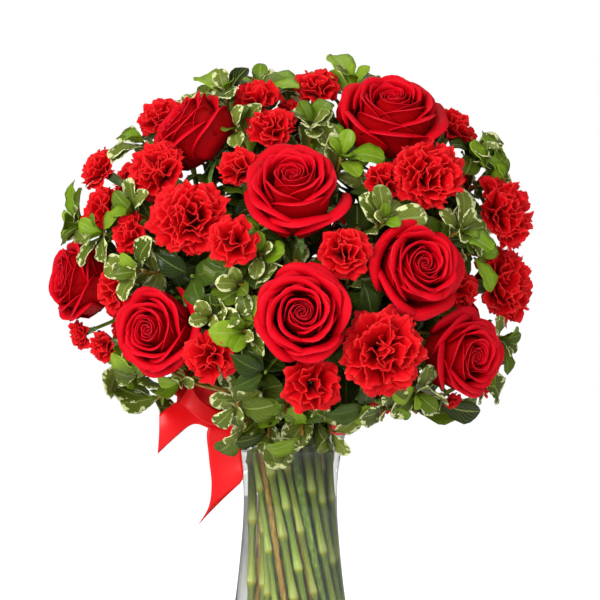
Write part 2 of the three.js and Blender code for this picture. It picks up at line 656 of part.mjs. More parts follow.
// Blooms claim their room before leaves and large heads before small ones; what comes after them yields.
const FIRST_CLAIM = ['rose_bloom', 'carnation_bloom', 'small_bloom', 'rose_leaf', 'whorl'];
const claim = ({ one }) => FIRST_CLAIM.indexOf(one.kind);
const allHeads = plants
  .flatMap((plant) => plant.heads.map((one) => ({ plant, one })))
  .sort((p, q) => claim(p) - claim(q) || q.one.width - p.one.width);

/** The tubes that a head yields to: all but its own plant's, unless it is a bloom apart from its stem. */
function tubesPast(plant, one) {
  const apart = bloomApart(plant) && one === plant.heads[0];
  return runs
    .filter((run) => run.plant !== plant || (apart && run !== plant.main))
    .map((run) => wideTubes.get(run));
}

const claimed = [];
for (const { plant, one } of allHeads) {
  const soft = one.kind in LEAVES;
  const others = claimed
    .filter((other) => other.plant !== plant || (bloomApart(plant) && other.one === plant.heads[0]))
    .map((other) => other.wide);
  const fixed = soft ? [wideVase, wideRibbon] : [wideVase];
  one.solid = yieldTo(headSolid(one, 0), [...tubesPast(plant, one), ...others, ...fixed]);
  claimed.push({ plant, one, wide: headSolid(one, CLEARANCE) });
}

const group = new THREE.Group();
group.add(part('vase', vase, 'glass'));
group.add(part('water', water, 'water'));
group.add(part('ribbon', ribbon, 'satin'));
for (const { name, kind, main, shoots, heads } of plants) {
  const [leader, ...others] = heads;
  const shootTubes = shoots.map((run) => tubes.get(run));
  const stem = [tubes.get(main), ...shootTubes, ...others.map((one) => one.solid)];
  if (bloomApart({ kind })) {
    group.add(part(`${name}_bloom`, leader.solid, `${kind}Petal`));
    group.add(part(`${name}_stem`, largest(Manifold.union(stem)), `${kind}Stem`));
  } else {
    const whole = largest(Manifold.union([...stem, leader.solid]));
    group.add(kind === 'spray'
      ? part(`mini_${name}`, whole, 'carnationPetal')
      : part(`leaf_${name}`, whole, 'leaf'));
  }
}

export default group;
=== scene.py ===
"""Roses and carnations in a glass vase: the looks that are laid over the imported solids.

The sections follow the order in which the bouquet is put together: vase, water, stems, blooms, leaves,
ribbon, and last the studio that it stands in. Metres, +Z up; the bouquet faces -Y.
"""

import re
from functools import partial

import bpy
import numpy as np
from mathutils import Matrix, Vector


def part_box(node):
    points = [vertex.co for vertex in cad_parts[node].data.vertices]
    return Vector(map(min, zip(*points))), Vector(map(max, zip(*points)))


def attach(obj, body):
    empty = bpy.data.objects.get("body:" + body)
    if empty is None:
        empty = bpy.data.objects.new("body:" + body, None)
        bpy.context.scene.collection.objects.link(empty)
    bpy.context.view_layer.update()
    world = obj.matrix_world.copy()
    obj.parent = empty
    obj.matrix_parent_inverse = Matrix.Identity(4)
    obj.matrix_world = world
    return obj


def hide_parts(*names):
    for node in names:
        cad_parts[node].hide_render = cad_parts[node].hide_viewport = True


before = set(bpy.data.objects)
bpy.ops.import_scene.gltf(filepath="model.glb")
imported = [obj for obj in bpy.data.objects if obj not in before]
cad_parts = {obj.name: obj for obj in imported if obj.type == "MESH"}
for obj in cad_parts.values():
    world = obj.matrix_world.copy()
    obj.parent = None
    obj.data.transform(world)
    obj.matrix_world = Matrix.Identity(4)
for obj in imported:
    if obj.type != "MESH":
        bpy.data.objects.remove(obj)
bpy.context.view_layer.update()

MM = 0.001
UP = np.array([0.0, 0.0, 1.0])


# ---- The vase ----
# A waisted cylinder of clear soda-lime glass, blown in a mould, with a thick floor and a flared,
# fire-polished lip. It stands on its flat underside.

VASE_SIDES = 72
VASE_WALL = 3 * MM
WALL_ROWS = 44
WALL_FOOT = 12 * MM
FOOT_TOP = 11 * MM
LIP_RISE = 1 * MM
OUTER_LEAST = 37 * MM
UNDERSIDE = np.array([(1, 0.8), (20, 0.6), (36, 0.3), (41, 0), (44, 0)]) * MM
VASE_FLOOR = np.array([(40, 9), (20, 8.6), (1, 8.4)]) * MM


def linear(colour):
    """An sRGB hex colour as linear red, green, blue and a full alpha."""
    parts = np.array([int(colour[k : k + 2], 16) for k in (1, 3, 5)]) / 255
    return (*np.where(parts > 0.04045, ((parts + 0.055) / 1.055) ** 2.4, parts / 12.92), 1.0)


def node(material, kind, inputs=None, operation=None, stops=(), **fields):
    """Adds one node. An input takes a value, an output, or a node, which stands for its first output;
    the operation is that of a math node, and stops are the (place, colour) pairs of a ramp.
    """
    made = material.node_tree.nodes.new("ShaderNode" + kind)
    if operation:
        made.operation = operation
    for field, value in fields.items():
        setattr(made, field, value)
    for socket, value in (inputs or {}).items():
        if isinstance(value, bpy.types.Node):
            value = value.outputs[0]
        if isinstance(value, bpy.types.NodeSocket):
            material.node_tree.links.new(value, made.inputs[socket])
        else:
            made.inputs[socket].default_value = value
    for k, (place, colour) in enumerate(stops):
        stop = made.color_ramp.elements[k] if k < 2 else made.color_ramp.elements.new(place)
        stop.position, stop.color = place, linear(colour)
    return made


def new_material(name, kind=bpy.data.materials):
    """A material, or a world, without nodes, and the function that adds nodes to it."""
    made = kind.new(name)
    made.use_nodes = True
    made.node_tree.nodes.clear()
    return made, partial(node, made)


def object_of(name, points, faces, material):
    """A mesh object in the scene from corner places and faces."""
    mesh = bpy.data.meshes.new(name)
    mesh.from_pydata(np.asarray(points, float).reshape(-1, 3), [], faces)
    mesh.materials.append(material)
    made = bpy.data.objects.new(name, mesh)
    bpy.context.scene.collection.objects.link(made)
    return made


def piece_of(name, points, faces, material, cad_nodes, slot, fields=None, flat=None):
    """A smooth piece on the root body. Fields are vectors kept at its corners; flat lists its flat faces."""
    piece = object_of(name, points, faces, material)
    mesh = piece.data
    smooth = np.ones(len(mesh.polygons), bool)
    if flat is not None:
        smooth[flat] = False
    mesh.polygons.foreach_set("use_smooth", smooth)
    for field, values in (fields or {}).items():
        kept = mesh.attributes.new(field, "FLOAT_VECTOR", "POINT")
        kept.data.foreach_set("vector", np.asarray(values, np.float32).ravel())
    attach(piece, "root")
    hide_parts(*cad_nodes)
    return piece


def stacked(*parts):
    """Arrays drawn out to one shape and put side by side along a new last axis."""
    return np.stack(np.broadcast_arrays(*parts), axis=-1)


def ring_faces(rings, sides):
    """Quads between rings of corners that follow one another, wound to face out, and a cap at both ends."""
    here = np.arange(rings * sides).reshape(rings, sides)
    beyond = np.roll(here, -1, axis=1)
    quads = stacked(here[:-1], beyond[:-1], beyond[1:], here[1:])
    return quads.reshape(-1, 4).tolist() + [here[0, ::-1].tolist(), here[-1].tolist()]


def glass_like(name, tint, ior, density):
    """A clear dielectric that lets lamplight through to what stands behind it; long paths in it darken."""
    material, add = new_material(name)
    clear = add("BsdfPrincipled", {
        "Base Color": linear("#FFFFFF"), "Roughness": 0.0, "IOR": ior, "Transmission Weight": 1.0,
    })
    lit = add("BsdfTransparent", {"Color": linear("#F4F8F6")})
    path = add("LightPath").outputs
    mix = add("MixShader", {0: path["Is Shadow Ray"], 1: clear, 2: lit})
    depth = add("VolumeAbsorption", {"Color": linear(tint), "Density": density})
    add("OutputMaterial", {"Surface": mix, "Volume": depth})
    return material


def corners_of(cad_node):
    """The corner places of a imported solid, doubles merged, and its triangles as rows of corner numbers."""
    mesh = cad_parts[cad_node].data
    places = np.empty(3 * len(mesh.vertices))
    mesh.vertices.foreach_get("co", places)
    places = places.reshape(-1, 3)
    order = np.empty(len(mesh.loops), int)
    mesh.loops.foreach_get("vertex_index", order)
    _, first, number = np.unique(np.round(places, 6), axis=0, return_index=True, return_inverse=True)
    return places[first], number.ravel()[order.reshape(-1, 3)]


def round_z(out, angle, height, aside=0):
    """Places so far out from the Z axis at an angle and a height, and so far aside, square to the way out:
    x = out cos a - aside sin a, y = out sin a + aside cos a.
    """
    cos, sin = np.cos(angle), np.sin(angle)
    return stacked(out * cos - aside * sin, out * sin + aside * cos, height)


def turned(profile, sides=VASE_SIDES):
    """A profile of (radius, height) turned round Z, capped flat at both ends."""
    angle = np.linspace(0, 2 * np.pi, sides, endpoint=False)
    radius, height = np.asarray(profile).T[:, :, None]
    return round_z(radius, angle, height).reshape(-1, 3), ring_faces(len(profile), sides)


def arc(start, end, steps, bulge):
    """A quarter-ellipse from start to end; bulge picks the corner that it rounds, 0 or 1."""
    turn = np.linspace(0, np.pi / 2, steps)[1:-1]
    first, second = (np.sin(turn), 1 - np.cos(turn)) if bulge else (1 - np.cos(turn), np.sin(turn))
    return stacked(start[0] + (end[0] - start[0]) * first, start[1] + (end[1] - start[1]) * second)


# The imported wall's outer radius at each height becomes one smooth curve, which the water and the ribbon
# follow too.
vase_places = corners_of("vase")[0]
vase_rows = np.unique(np.round(stacked(
    np.hypot(vase_places[:, 0], vase_places[:, 1]), vase_places[:, 2],
), 5), axis=0)
vase_top = vase_rows[:, 1].max()
on_wall = (vase_rows[:, 1] > FOOT_TOP) & (vase_rows[:, 1] < vase_top - LIP_RISE / 2)
wall_rows = vase_rows[on_wall]
wall_heights = np.unique(wall_rows[:, 1])
outer = np.array([[wall_rows[wall_rows[:, 1] == z, 0].max(), z] for z in wall_heights])
outer = outer[outer[:, 0] > OUTER_LEAST]
wall_curve = np.polynomial.Polynomial.fit(outer[:, 1], outer[:, 0], deg=7)
wall_z = np.linspace(WALL_FOOT, vase_top - LIP_RISE, WALL_ROWS)
wall_r = wall_curve(wall_z)
outside = stacked(wall_r, wall_z)
inside = stacked(wall_r - VASE_WALL, wall_z)[::-1]
lip_turn = np.linspace(0, np.pi, 9)[1:-1]
lip = stacked(
    wall_r[-1] - VASE_WALL / 2 + VASE_WALL / 2 * np.cos(lip_turn),
    wall_z[-1] + LIP_RISE * np.sin(lip_turn),
)
vase_profile = np.concatenate([
    UNDERSIDE, arc(UNDERSIDE[-1], outside[0], steps=9, bulge=0), outside, lip, inside,
    arc(inside[-1], VASE_FLOOR[0], steps=7, bulge=1), VASE_FLOOR,
])
# The glass is colourless and mirror-smooth: the eye finds it by its bright edges, and by a grey-green
# cast where it looks the long way through the lip and the foot.
glass = glass_like("clear_soda_lime_glass", "#DADFCE", ior=1.5, density=26.0)
piece_of("vase_glass", *turned(vase_profile), glass, ["vase"], "glass")


# ---- The water ----
# Clear tap water, up to the neck. It climbs the glass a little at its edge, and reaches just into the
# wall so that no film of air shows between the two.

WATER_OVERLAP = 0.4 * MM
WATER_ROWS = 28
WATER_FOOT = np.array([(1, 8), (20, 8.2), (41, 8.6)]) * MM
CLIMB_WIDTH, CLIMB_HEIGHT = 3.5 * MM, 1.4 * MM
water_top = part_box("water")[1].z
wet_z = np.linspace(WALL_FOOT, water_top, WATER_ROWS)
wet_wall = stacked(wall_curve(wet_z) - VASE_WALL + WATER_OVERLAP, wet_z)
inward = np.linspace(0, 1, 6)[1:]
climb = stacked(
    wet_wall[-1, 0] - WATER_OVERLAP - CLIMB_WIDTH * inward,
    water_top - CLIMB_HEIGHT * (1 - (1 - inward) ** 2),
)
water_profile = np.concatenate([WATER_FOOT, wet_wall, climb, [(1 * MM, water_top - CLIMB_HEIGHT)]])
# Clear water is seen by its flat, bright surface and by the way it bends and thickens the stems behind it.
water = glass_like("still_water", "#F2F5EA", ior=1.33, density=1.5)
piece_of("vase_water", *turned(water_profile), water, ["water"], "water")


# ---- The stems: where they run ----
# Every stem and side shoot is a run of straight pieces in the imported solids. A ring of corners stands at
# each bend, so the rings give the line that the real, round stem follows.

STEM_RADII = {"rose": 3.0 * MM, "carnation": 2.6 * MM, "mini": 2.1 * MM, "leaf": 2.3 * MM}
SHOOT_RADII = {"rose": 1.3 * MM, "carnation": 1.5 * MM, "mini": 1.5 * MM, "leaf": 1.3 * MM}
SHOOT_SIDES = {"rose": 3, "carnation": 4, "mini": 4, "leaf": 3}
APPROACH = 14 * MM
RING_SLACK, SPOKE_SLACK = 0.02 * MM, 0.05 * MM
LEADER_GAP, SHOOT_GAP = 3 * MM, 2 * MM
NO_AREA = 1e-9
FAN_MISFIT, FAN_COSINE = 0.01, 0.95


def unit(vectors):
    """The vectors scaled to a length of one."""
    return vectors / np.maximum(np.linalg.norm(vectors, axis=-1, keepdims=True), 1e-12)


def lengths(vectors):
    """The length of each vector of an array."""
    return np.linalg.norm(vectors, axis=-1)


def edges_of(faces):
    """Each edge of the triangles once, as a pair of corner numbers."""
    return np.unique(np.sort(np.concatenate([faces[:, :2], faces[:, 1:], faces[:, ::2]]), axis=1), axis=0)


def rings_of(corners, edges, side):
    """Rings of corners joined by edges one side long: each corner's ring, or -1, and the rings' centres,
    which are those of the circles through a ring's first three corners.
    """
    length = lengths(corners[edges[:, 0]] - corners[edges[:, 1]])
    short = edges[np.abs(length - side) < RING_SLACK]
    label = np.arange(len(corners))
    while True:
        lowest = label.copy()
        np.minimum.at(lowest, short[:, 0], label[short[:, 1]])
        np.minimum.at(lowest, short[:, 1], label[short[:, 0]])
        if (lowest == label).all():
            break
        label = lowest
    ring = np.full(len(corners), -1)
    centres = []
    for first in np.unique(label[np.unique(short)]):
        own = np.flatnonzero(label == first)
        if len(own) > 2:
            ring[own] = len(centres)
            a, u, v = corners[own[0]], *(corners[own[1:3]] - corners[own[0]])
            w = np.cross(u, v)
            centres.append(a + (v @ v * np.cross(w, u) + u @ u * np.cross(v, w)) / (2 * w @ w))
    return ring, np.array(centres).reshape(-1, 3)


def in_order(centres):
    """Places sorted into a line: from the lowest, always on to the nearest one left."""
    left = list(range(len(centres)))
    line = [left.pop(int(np.argmin(centres[:, 2])))]
    while left:
        gaps = lengths(centres[left] - centres[line[-1]])
        line.append(left.pop(int(np.argmin(gaps))))
    return centres[line]


def nearest_on(line, place):
    """The point of a run of straight pieces that is nearest to a place."""
    start, along = line[:-1], np.diff(line, axis=0)
    share = ((place - start) * along).sum(1) / (along * along).sum(1)
    points = start + along * np.clip(share, 0, 1)[:, None]
    return points[np.argmin(lengths(points - place))]


def hermite(t, start, end, leaving, arriving):
    """The cubic from start to end with these slopes at its ends, at the shares t of the way."""
    return ((2 * t**3 - 3 * t**2 + 1) * start + (3 * t**2 - 2 * t**3) * end
            + (t**3 - 2 * t**2 + t) * leaving + (t**3 - t**2) * arriving)


def smooth(line, step=5 * MM):
    """A curve through the line's points whose first and last pieces stay straight.

    Between two points it is the Hermite cubic whose headings are the neighbouring chords' mean, weighted
    towards the shorter one.
    """
    chord = np.diff(line, axis=0)
    length = lengths(chord)
    heading = chord / length[:, None]
    middle = heading[:-1] * length[1:, None] + heading[1:] * length[:-1, None]
    heading = np.concatenate([heading[:1], middle / (length[1:] + length[:-1])[:, None], heading[-1:]])
    if len(line) > 3:
        heading[1], heading[-2] = heading[0], heading[-1]
    pieces = []
    for i, span in enumerate(length):
        t = np.linspace(0, 1, max(2, int(span / step)), endpoint=False)[:, None]
        pieces.append(hermite(t, line[i], line[i + 1], span * heading[i], span * heading[i + 1]))
    return np.concatenate([*pieces, line[-1:]])


def fans_of(cad_node, least, even):
    """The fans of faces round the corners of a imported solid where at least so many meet, all at one angle
    to an axis, with enough even spokes: each fan's place, axis and spokes to its rim, longest first.
    """
    corners, faces = corners_of(cad_node)
    count = np.bincount(faces.ravel(), minlength=len(corners))
    found = []
    for hub in np.flatnonzero(count >= least):
        own = faces[(faces == hub).any(1)]
        a, b, c = corners[own].transpose(1, 0, 2)
        normal = np.cross(b - a, c - a)
        size = lengths(normal)
        normal = normal[size > NO_AREA] / size[size > NO_AREA][:, None]
        axis = np.linalg.lstsq(normal, np.ones(len(normal)), rcond=None)[0]
        if np.abs(normal @ axis - 1).max() > FAN_MISFIT or 1 / np.linalg.norm(axis) < FAN_COSINE:
            continue
        spokes = corners[np.setdiff1d(own, [hub])] - corners[hub]
        spokes = spokes[np.argsort(-lengths(spokes))]
        reach = lengths(spokes)
        if (np.abs(reach[:, None] - reach) < SPOKE_SLACK).sum(1).max() >= even:
            found.append((corners[hub], unit(axis), spokes))
    return found


def plant_of(cad_node, heads, bloom_seat=None):
    """The smooth lines of a plant's stem and of its shoots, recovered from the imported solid.

    heads are (seat, facing) of what it carries. The stem goes up through its rings. A shoot is read from
    its head down: from the ring behind the seat to each next ring that shares an edge, then to the stem.
    """
    kind = cad_node.split("_")[0]
    corners, faces = corners_of(cad_node)
    edges = edges_of(faces)
    # A packed stem has six sides, each as long as its radius.
    stem = in_order(rings_of(corners, edges, STEM_RADII[kind])[1])
    leader = bloom_seat
    shoot_side = 2 * SHOOT_RADII[kind] * np.sin(np.pi / SHOOT_SIDES[kind])
    ring, centres = rings_of(corners, edges, shoot_side)
    joined = ring[edges]
    linked = joined[(joined >= 0).all(1) & (joined[:, 0] != joined[:, 1])]
    shoots = []
    for seat, facing in heads:
        behind = seat - APPROACH * facing
        if leader is None and np.linalg.norm(stem[-1] - behind) < LEADER_GAP:
            leader = seat
            continue
        gaps = lengths(centres - behind)
        passed = [int(np.argmin(gaps))] if len(gaps) and gaps.min() < SHOOT_GAP else []
        while passed:
            near = linked[(linked == passed[-1]).any(1)].ravel()
            onward = np.setdiff1d(near, passed)
            if len(onward) == 0:
                break
            passed.append(int(onward[0]))
        path = [seat, *centres[passed]] if passed else [seat, behind]
        foot = path[-1]
        if passed:
            touching = edges[(ring[edges] == passed[-1]).any(1)].ravel()
            entry = corners[touching[ring[touching] < 0]]
            foot = entry.mean(0) if len(entry) else foot
        shoots.append(smooth(np.array([nearest_on(stem, foot), *path[::-1]])))
    if bloom_seat is not None:
        stem = stem[:-1]
    if leader is not None:
        stem = np.concatenate([stem, [leader]])
    return smooth(stem), shoots


# ---- Heads: where each one stands ----
# A bloom's solid is turned round its own axis, and a whorl of leaves is a star, so the middle of the fan of
# faces at the crown gives each head's place, the way it looks and its size.

SEAT_DROP = 0.55
STAR_MIDDLE = 1.6 * MM
ROSE_CROWN, CARNATION_CROWN = 0.17, 0.28
CROWN_SPOKE = np.hypot(0.38, 0.09)
NOTCH_SPOKE, NOTCH_SLACK = 0.418, 0.1 * MM


def bloom_of(cad_node, crown):
    """The widest round's centre, the axis and the width of a bloom that is a solid of its own."""
    ends = sorted(fans_of(cad_node, least=9, even=8), key=lambda fan: np.linalg.norm(fan[2][0]))
    seat, top = ends[0][0], ends[-1][0]
    width = np.linalg.norm(top - seat) / (SEAT_DROP + crown)
    axis = unit(top - seat)
    return seat + SEAT_DROP * width * axis, axis, width


def small_blooms_of(cad_node):
    """The same three for each small bloom of a spray; the crown's longest even spokes give the width."""
    found = []
    for top, axis, spokes in fans_of(cad_node, least=7, even=6):
        width = np.median(lengths(spokes)[:6]) / CROWN_SPOKE
        found.append((top - CARNATION_CROWN * width * axis, axis, width))
    return found


def whorls_of(cad_node):
    """The middle, the axis and the spokes to the tips and notches of each star of leaves."""
    found = []
    for top, axis, spokes in fans_of(cad_node, least=9, even=2):
        reach = lengths(spokes)
        if np.abs(reach - NOTCH_SPOKE * reach[0]).min() < NOTCH_SLACK:
            found.append((top - STAR_MIDDLE * axis, axis, spokes))
    return found


def counted(name):
    """A name as its words and numbers, so that sorting puts 2 before 10."""
    return [int(part) if part.isdigit() else part for part in re.split(r"(\d+)", name)]


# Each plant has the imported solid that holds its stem; the blooms of single stems are solids of their own.
plants = {
    name.removesuffix("_stem"): name for name in sorted(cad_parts, key=counted)
    if name.endswith("_stem") or name.startswith(("mini", "leaf"))
}


def plants_of(*kinds):
    """The pairs (plant, kind) of these kinds, in the plants' own order."""
    return [(plant, plant.split("_")[0]) for plant in plants if plant.split("_")[0] in kinds]


blooms, whorls, stems, shoots = {}, {}, {}, {}
for plant, kind in plants_of("rose", "carnation", "mini", "leaf"):
    own_bloom, heads = None, []
    if kind in ("rose", "carnation"):
        blooms[plant] = [bloom_of(plant + "_bloom", ROSE_CROWN if kind == "rose" else CARNATION_CROWN)]
        middle, axis, width = blooms[plant][0]
        own_bloom = middle - SEAT_DROP * width * axis
    if kind == "mini":
        blooms[plant] = small_blooms_of(plant)
        heads = [(middle - SEAT_DROP * width * axis, axis) for middle, axis, width in blooms[plant]]
    if kind in ("rose", "leaf"):
        whorls[plant] = whorls_of(plants[plant])
        heads = [(middle, axis) for middle, axis, _ in whorls[plant]]
    stems[plant], shoots[plant] = plant_of(plants[plant], heads, own_bloom)


# ---- Rose stems and woody twigs ----
# Cut rose stems are green and smooth, stripped of their thorns. The leaf sprigs stand on brown, woody
# twigs with small raised pores.

TUBE_SIDES = {"rose": 12, "carnation": 12, "mini": 10, "leaf": 10}
SHOOT_TUBE_SIDES = 6
rng = np.random.default_rng(seed=20)


def way_along(line):
    """How far along a line each of its points lies."""
    return np.concatenate([[0], np.cumsum(lengths(np.diff(line, axis=0)))])


def tube(path, radius, sides, chance=None):
    """A round rod on a line: corner k of each ring is path + r (cos a side + sin a up), where side and up
    stand square to the line. The field is (share of the turn, way along, the rod's own chance number).
    """
    chance = rng.random() if chance is None else chance
    heading = unit(np.gradient(path, axis=0))
    overall = unit(path[-1] - path[0])
    fixed = np.cross(overall, np.eye(3)[np.argmin(np.abs(overall))])
    side = unit(np.cross(heading, fixed))
    up = np.cross(heading, side)
    angle = np.linspace(0, 2 * np.pi, sides, endpoint=False)[None, :, None]
    spread = np.cos(angle) * side[:, None] + np.sin(angle) * up[:, None]
    points = path[:, None] + np.broadcast_to(radius, len(path))[:, None, None] * spread
    field = stacked(angle[..., 0] / (2 * np.pi), way_along(path)[:, None], chance)
    return points.reshape(-1, 3), ring_faces(len(path), sides), field.reshape(-1, 3)


def together(shapes):
    """Several (points, faces, field) as one, the corner numbers of each following on."""
    starts = np.cumsum([0] + [len(points) for points, _, _ in shapes[:-1]]).tolist()
    faces = [[k + start for k in face] for start, (_, own, _) in zip(starts, shapes) for face in own]
    return np.concatenate([s[0] for s in shapes]), faces, np.concatenate([s[2] for s in shapes])


def rods_of(plant, kind, rod):
    """A plant's stem and shoots as one shape of rods."""
    rods = [rod(stems[plant], STEM_RADII[kind], TUBE_SIDES[kind])]
    rods += [rod(line, SHOOT_RADII[kind], SHOOT_TUBE_SIDES) for line in shoots[plant]]
    return together(rods)


def rod_material(name, colours, pores, roughness):
    """Plant stem: a lengthwise mottle of three colours over the field's turn and way, with raised pores."""
    material, add = new_material(name)
    field = add("Attribute", attribute_name="stem").outputs["Vector"]
    stretch = add("Mapping", {"Vector": field, "Scale": (3.0, 60.0, 1.0)})
    mottle = add("TexNoise", {"Vector": stretch, "Scale": 2.2, "Detail": 4.0})
    ramp = add("ValToRGB", {"Fac": mottle}, stops=zip((0.34, 0.52, 0.68), colours))
    place = add("TexCoord").outputs["Object"]
    pitted = add("TexVoronoi", {"Vector": place, "Scale": pores})
    relief = add("Bump", {"Height": pitted, "Strength": 0.35, "Distance": 0.4 * MM})
    skin = add("BsdfPrincipled", {
        "Base Color": ramp, "Normal": relief, "Roughness": roughness, "Specular IOR Level": 0.4,
    })
    add("OutputMaterial", {"Surface": skin})
    return material


# A rose stem shines a little under its wax and is mottled lengthwise from mid to yellow-green; a
# pittosporum twig is dull brown with olive streaks, and its pores catch the light as fine grain.
rose_bark = rod_material("green_rose_bark", ("#425A12", "#607A20", "#8A9A3C"), pores=260, roughness=0.42)
woody_bark = rod_material("brown_pittosporum_bark", ("#5A380E", "#8A621A", "#9E8A2C"), pores=420,
                          roughness=0.6)
barks = {"rose": ("_stalk", rose_bark, "rose_stem"), "leaf": ("_twigs", woody_bark, "leaf")}
for plant, kind in plants_of(*barks):
    points, faces, field = rods_of(plant, kind, tube)
    ending, bark, slot = barks[kind]
    piece_of(plant + ending, points, faces, bark, [plants[plant]], slot, {"stem": field})


# ---- Carnation stems ----
# Carnation stems are pale yellow-green under a waxy bloom, with a swollen joint every few centimetres.
# Each joint has a yellow-green ring, and above it the pale sheath of the leaf pair that stood on it.

JOINT_SPACING, JOINT_SWELL = 50 * MM, 0.5
SHEATH, JOINT_LIP = 9 * MM, 1.6 * MM
JOINTED_STEP = 3.2 * MM


def places_at(line, at):
    """The places that lie so far along a line."""
    way = way_along(line)
    return np.stack([np.interp(at, way, line[:, k]) for k in range(3)], axis=1)


def jointed(path, radius, sides):
    """A rod with joints: it narrows slowly above each, as exp(-way / sheath), and at once below it."""
    length = way_along(path)[-1]
    fine = np.linspace(0, length, int(length / JOINTED_STEP) + 2)
    path = places_at(path, fine)
    chance = rng.random()
    off = ((fine / JOINT_SPACING + chance) % 1 - 0.5) * JOINT_SPACING
    swell = 1 + JOINT_SWELL * np.exp(-np.where(off > 0, off / SHEATH, -off / JOINT_LIP))
    return tube(path, radius * swell, sides, chance)


# The eye reads the wax as a soft, milky green that turns olive towards each joint; every stem differs a
# little in hue, and a fine grain runs along it.
jointed_skin, add = new_material("waxy_carnation_stem")
field = add("Attribute", attribute_name="stem").outputs["Vector"]
parts = add("SeparateXYZ", {"Vector": field}).outputs
joints = add("Math", {0: parts["Y"], 1: 1 / JOINT_SPACING, 2: parts["Z"]}, "MULTIPLY_ADD")
span = add("Math", {0: joints}, "FRACT")
bands = add("ValToRGB", {"Fac": span}, stops=[
    (0.0, "#586616"), (0.4, "#48580E"), (0.47, "#606C0C"), (0.5, "#827E16"), (0.53, "#88904A"),
    (0.64, "#788438"), (0.8, "#667422"), (1.0, "#586616"),
])
stretch = add("Mapping", {"Vector": field, "Scale": (9.0, 25.0, 7.0)})
grain = add("TexNoise", {"Vector": stretch, "Scale": 1.0, "Detail": 3.0})
tint = add("MapRange", {"Value": parts["Z"], "To Min": 0.475, "To Max": 0.515})
light = add("MapRange", {"Value": grain, "From Min": 0.3, "From Max": 0.7, "To Min": 1.05, "To Max": 1.6})
own = add("HueSaturation", {"Color": bands, "Hue": tint, "Saturation": 1.02, "Value": light})
skin = add("BsdfPrincipled", {"Base Color": own, "Roughness": 0.45, "Specular IOR Level": 0.4})
add("OutputMaterial", {"Surface": skin})
for plant, kind in plants_of("carnation", "mini"):
    points, faces, field = rods_of(plant, kind, jointed)
    piece_of(plant + "_stalk", points, faces, jointed_skin, [plants[plant]], "carnation_stem",
             {"stem": field})


# ---- The roses ----
# Red roses, half to fully open: three dozen velvet petals in a spiral, cupped round a tight heart, their
# lips rolled back.

ROSE_PETALS = 36
ROSE_ROWS = np.array([0, 0.28, 0.5, 0.66, 0.77, 0.86, 0.92, 0.965, 1.0])
ROSE_COLUMNS = 13
LIP_FROM = 0.7
PETAL_FOOT, PETAL_LOW = 0.03, -0.41
PETAL_THICKNESS = 0.5 * MM
BACK_SKIN = 8.0
GOLDEN = np.radians(137.5)


def thin_sheets(sheets, thickness):
    """Closed blades from grids of places (sheet, row, column): each is moved half its thickness both ways
    along its normal, the cross product of its two directions, and the two skins are joined round the
    edge. Gives the points, the faces as rows of four, and which faces are the edge.
    """
    number, rows, columns = sheets.shape[:3]
    up = np.gradient(sheets, axis=1)
    across = np.gradient(sheets, axis=2)
    normal = unit(np.cross(across, up))
    both = np.stack([sheets + normal * thickness / 2, sheets - normal * thickness / 2], axis=1)
    corner = np.arange(number * 2 * rows * columns).reshape(number, 2, rows, columns)
    quads = stacked(corner[..., :-1, :-1], corner[..., :-1, 1:], corner[..., 1:, 1:], corner[..., 1:, :-1])
    quads[:, 1] = quads[:, 1, ..., ::-1]
    border = np.concatenate([
        corner[:, :, 0, :-1], corner[:, :, :-1, -1], corner[:, :, -1, :0:-1], corner[:, :, :0:-1, 0],
    ], axis=-1)
    onward = np.roll(border, -1, axis=-1)
    rim = stacked(onward[:, 0], border[:, 0], border[:, 1], onward[:, 1]).reshape(-1, 4)
    faces = np.concatenate([quads.reshape(-1, 4), rim])
    return both.reshape(-1, 3), faces, np.arange(len(faces) - len(rim), len(faces))


def placed(points, middle, axis, turn=0.0):
    """Points from a frame that looks along +Z, turned about that axis, aimed along another and moved."""
    fixed = np.array([0.0, 0.0, 1.0]) if abs(axis[2]) < 0.95 else np.array([0.0, -1.0, 0.0])
    side = unit(np.cross(fixed, axis))
    up = np.cross(axis, side)
    first = np.cos(turn) * side + np.sin(turn) * up
    second = np.cross(axis, first)
    return middle + points @ np.stack([first, second, axis])


def by_age(age, *values):
    """Values set out evenly from the innermost petal, age 0, to the outermost, age 1."""
    return np.interp(age, np.linspace(0, 1, len(values)), values)[:, None, None]


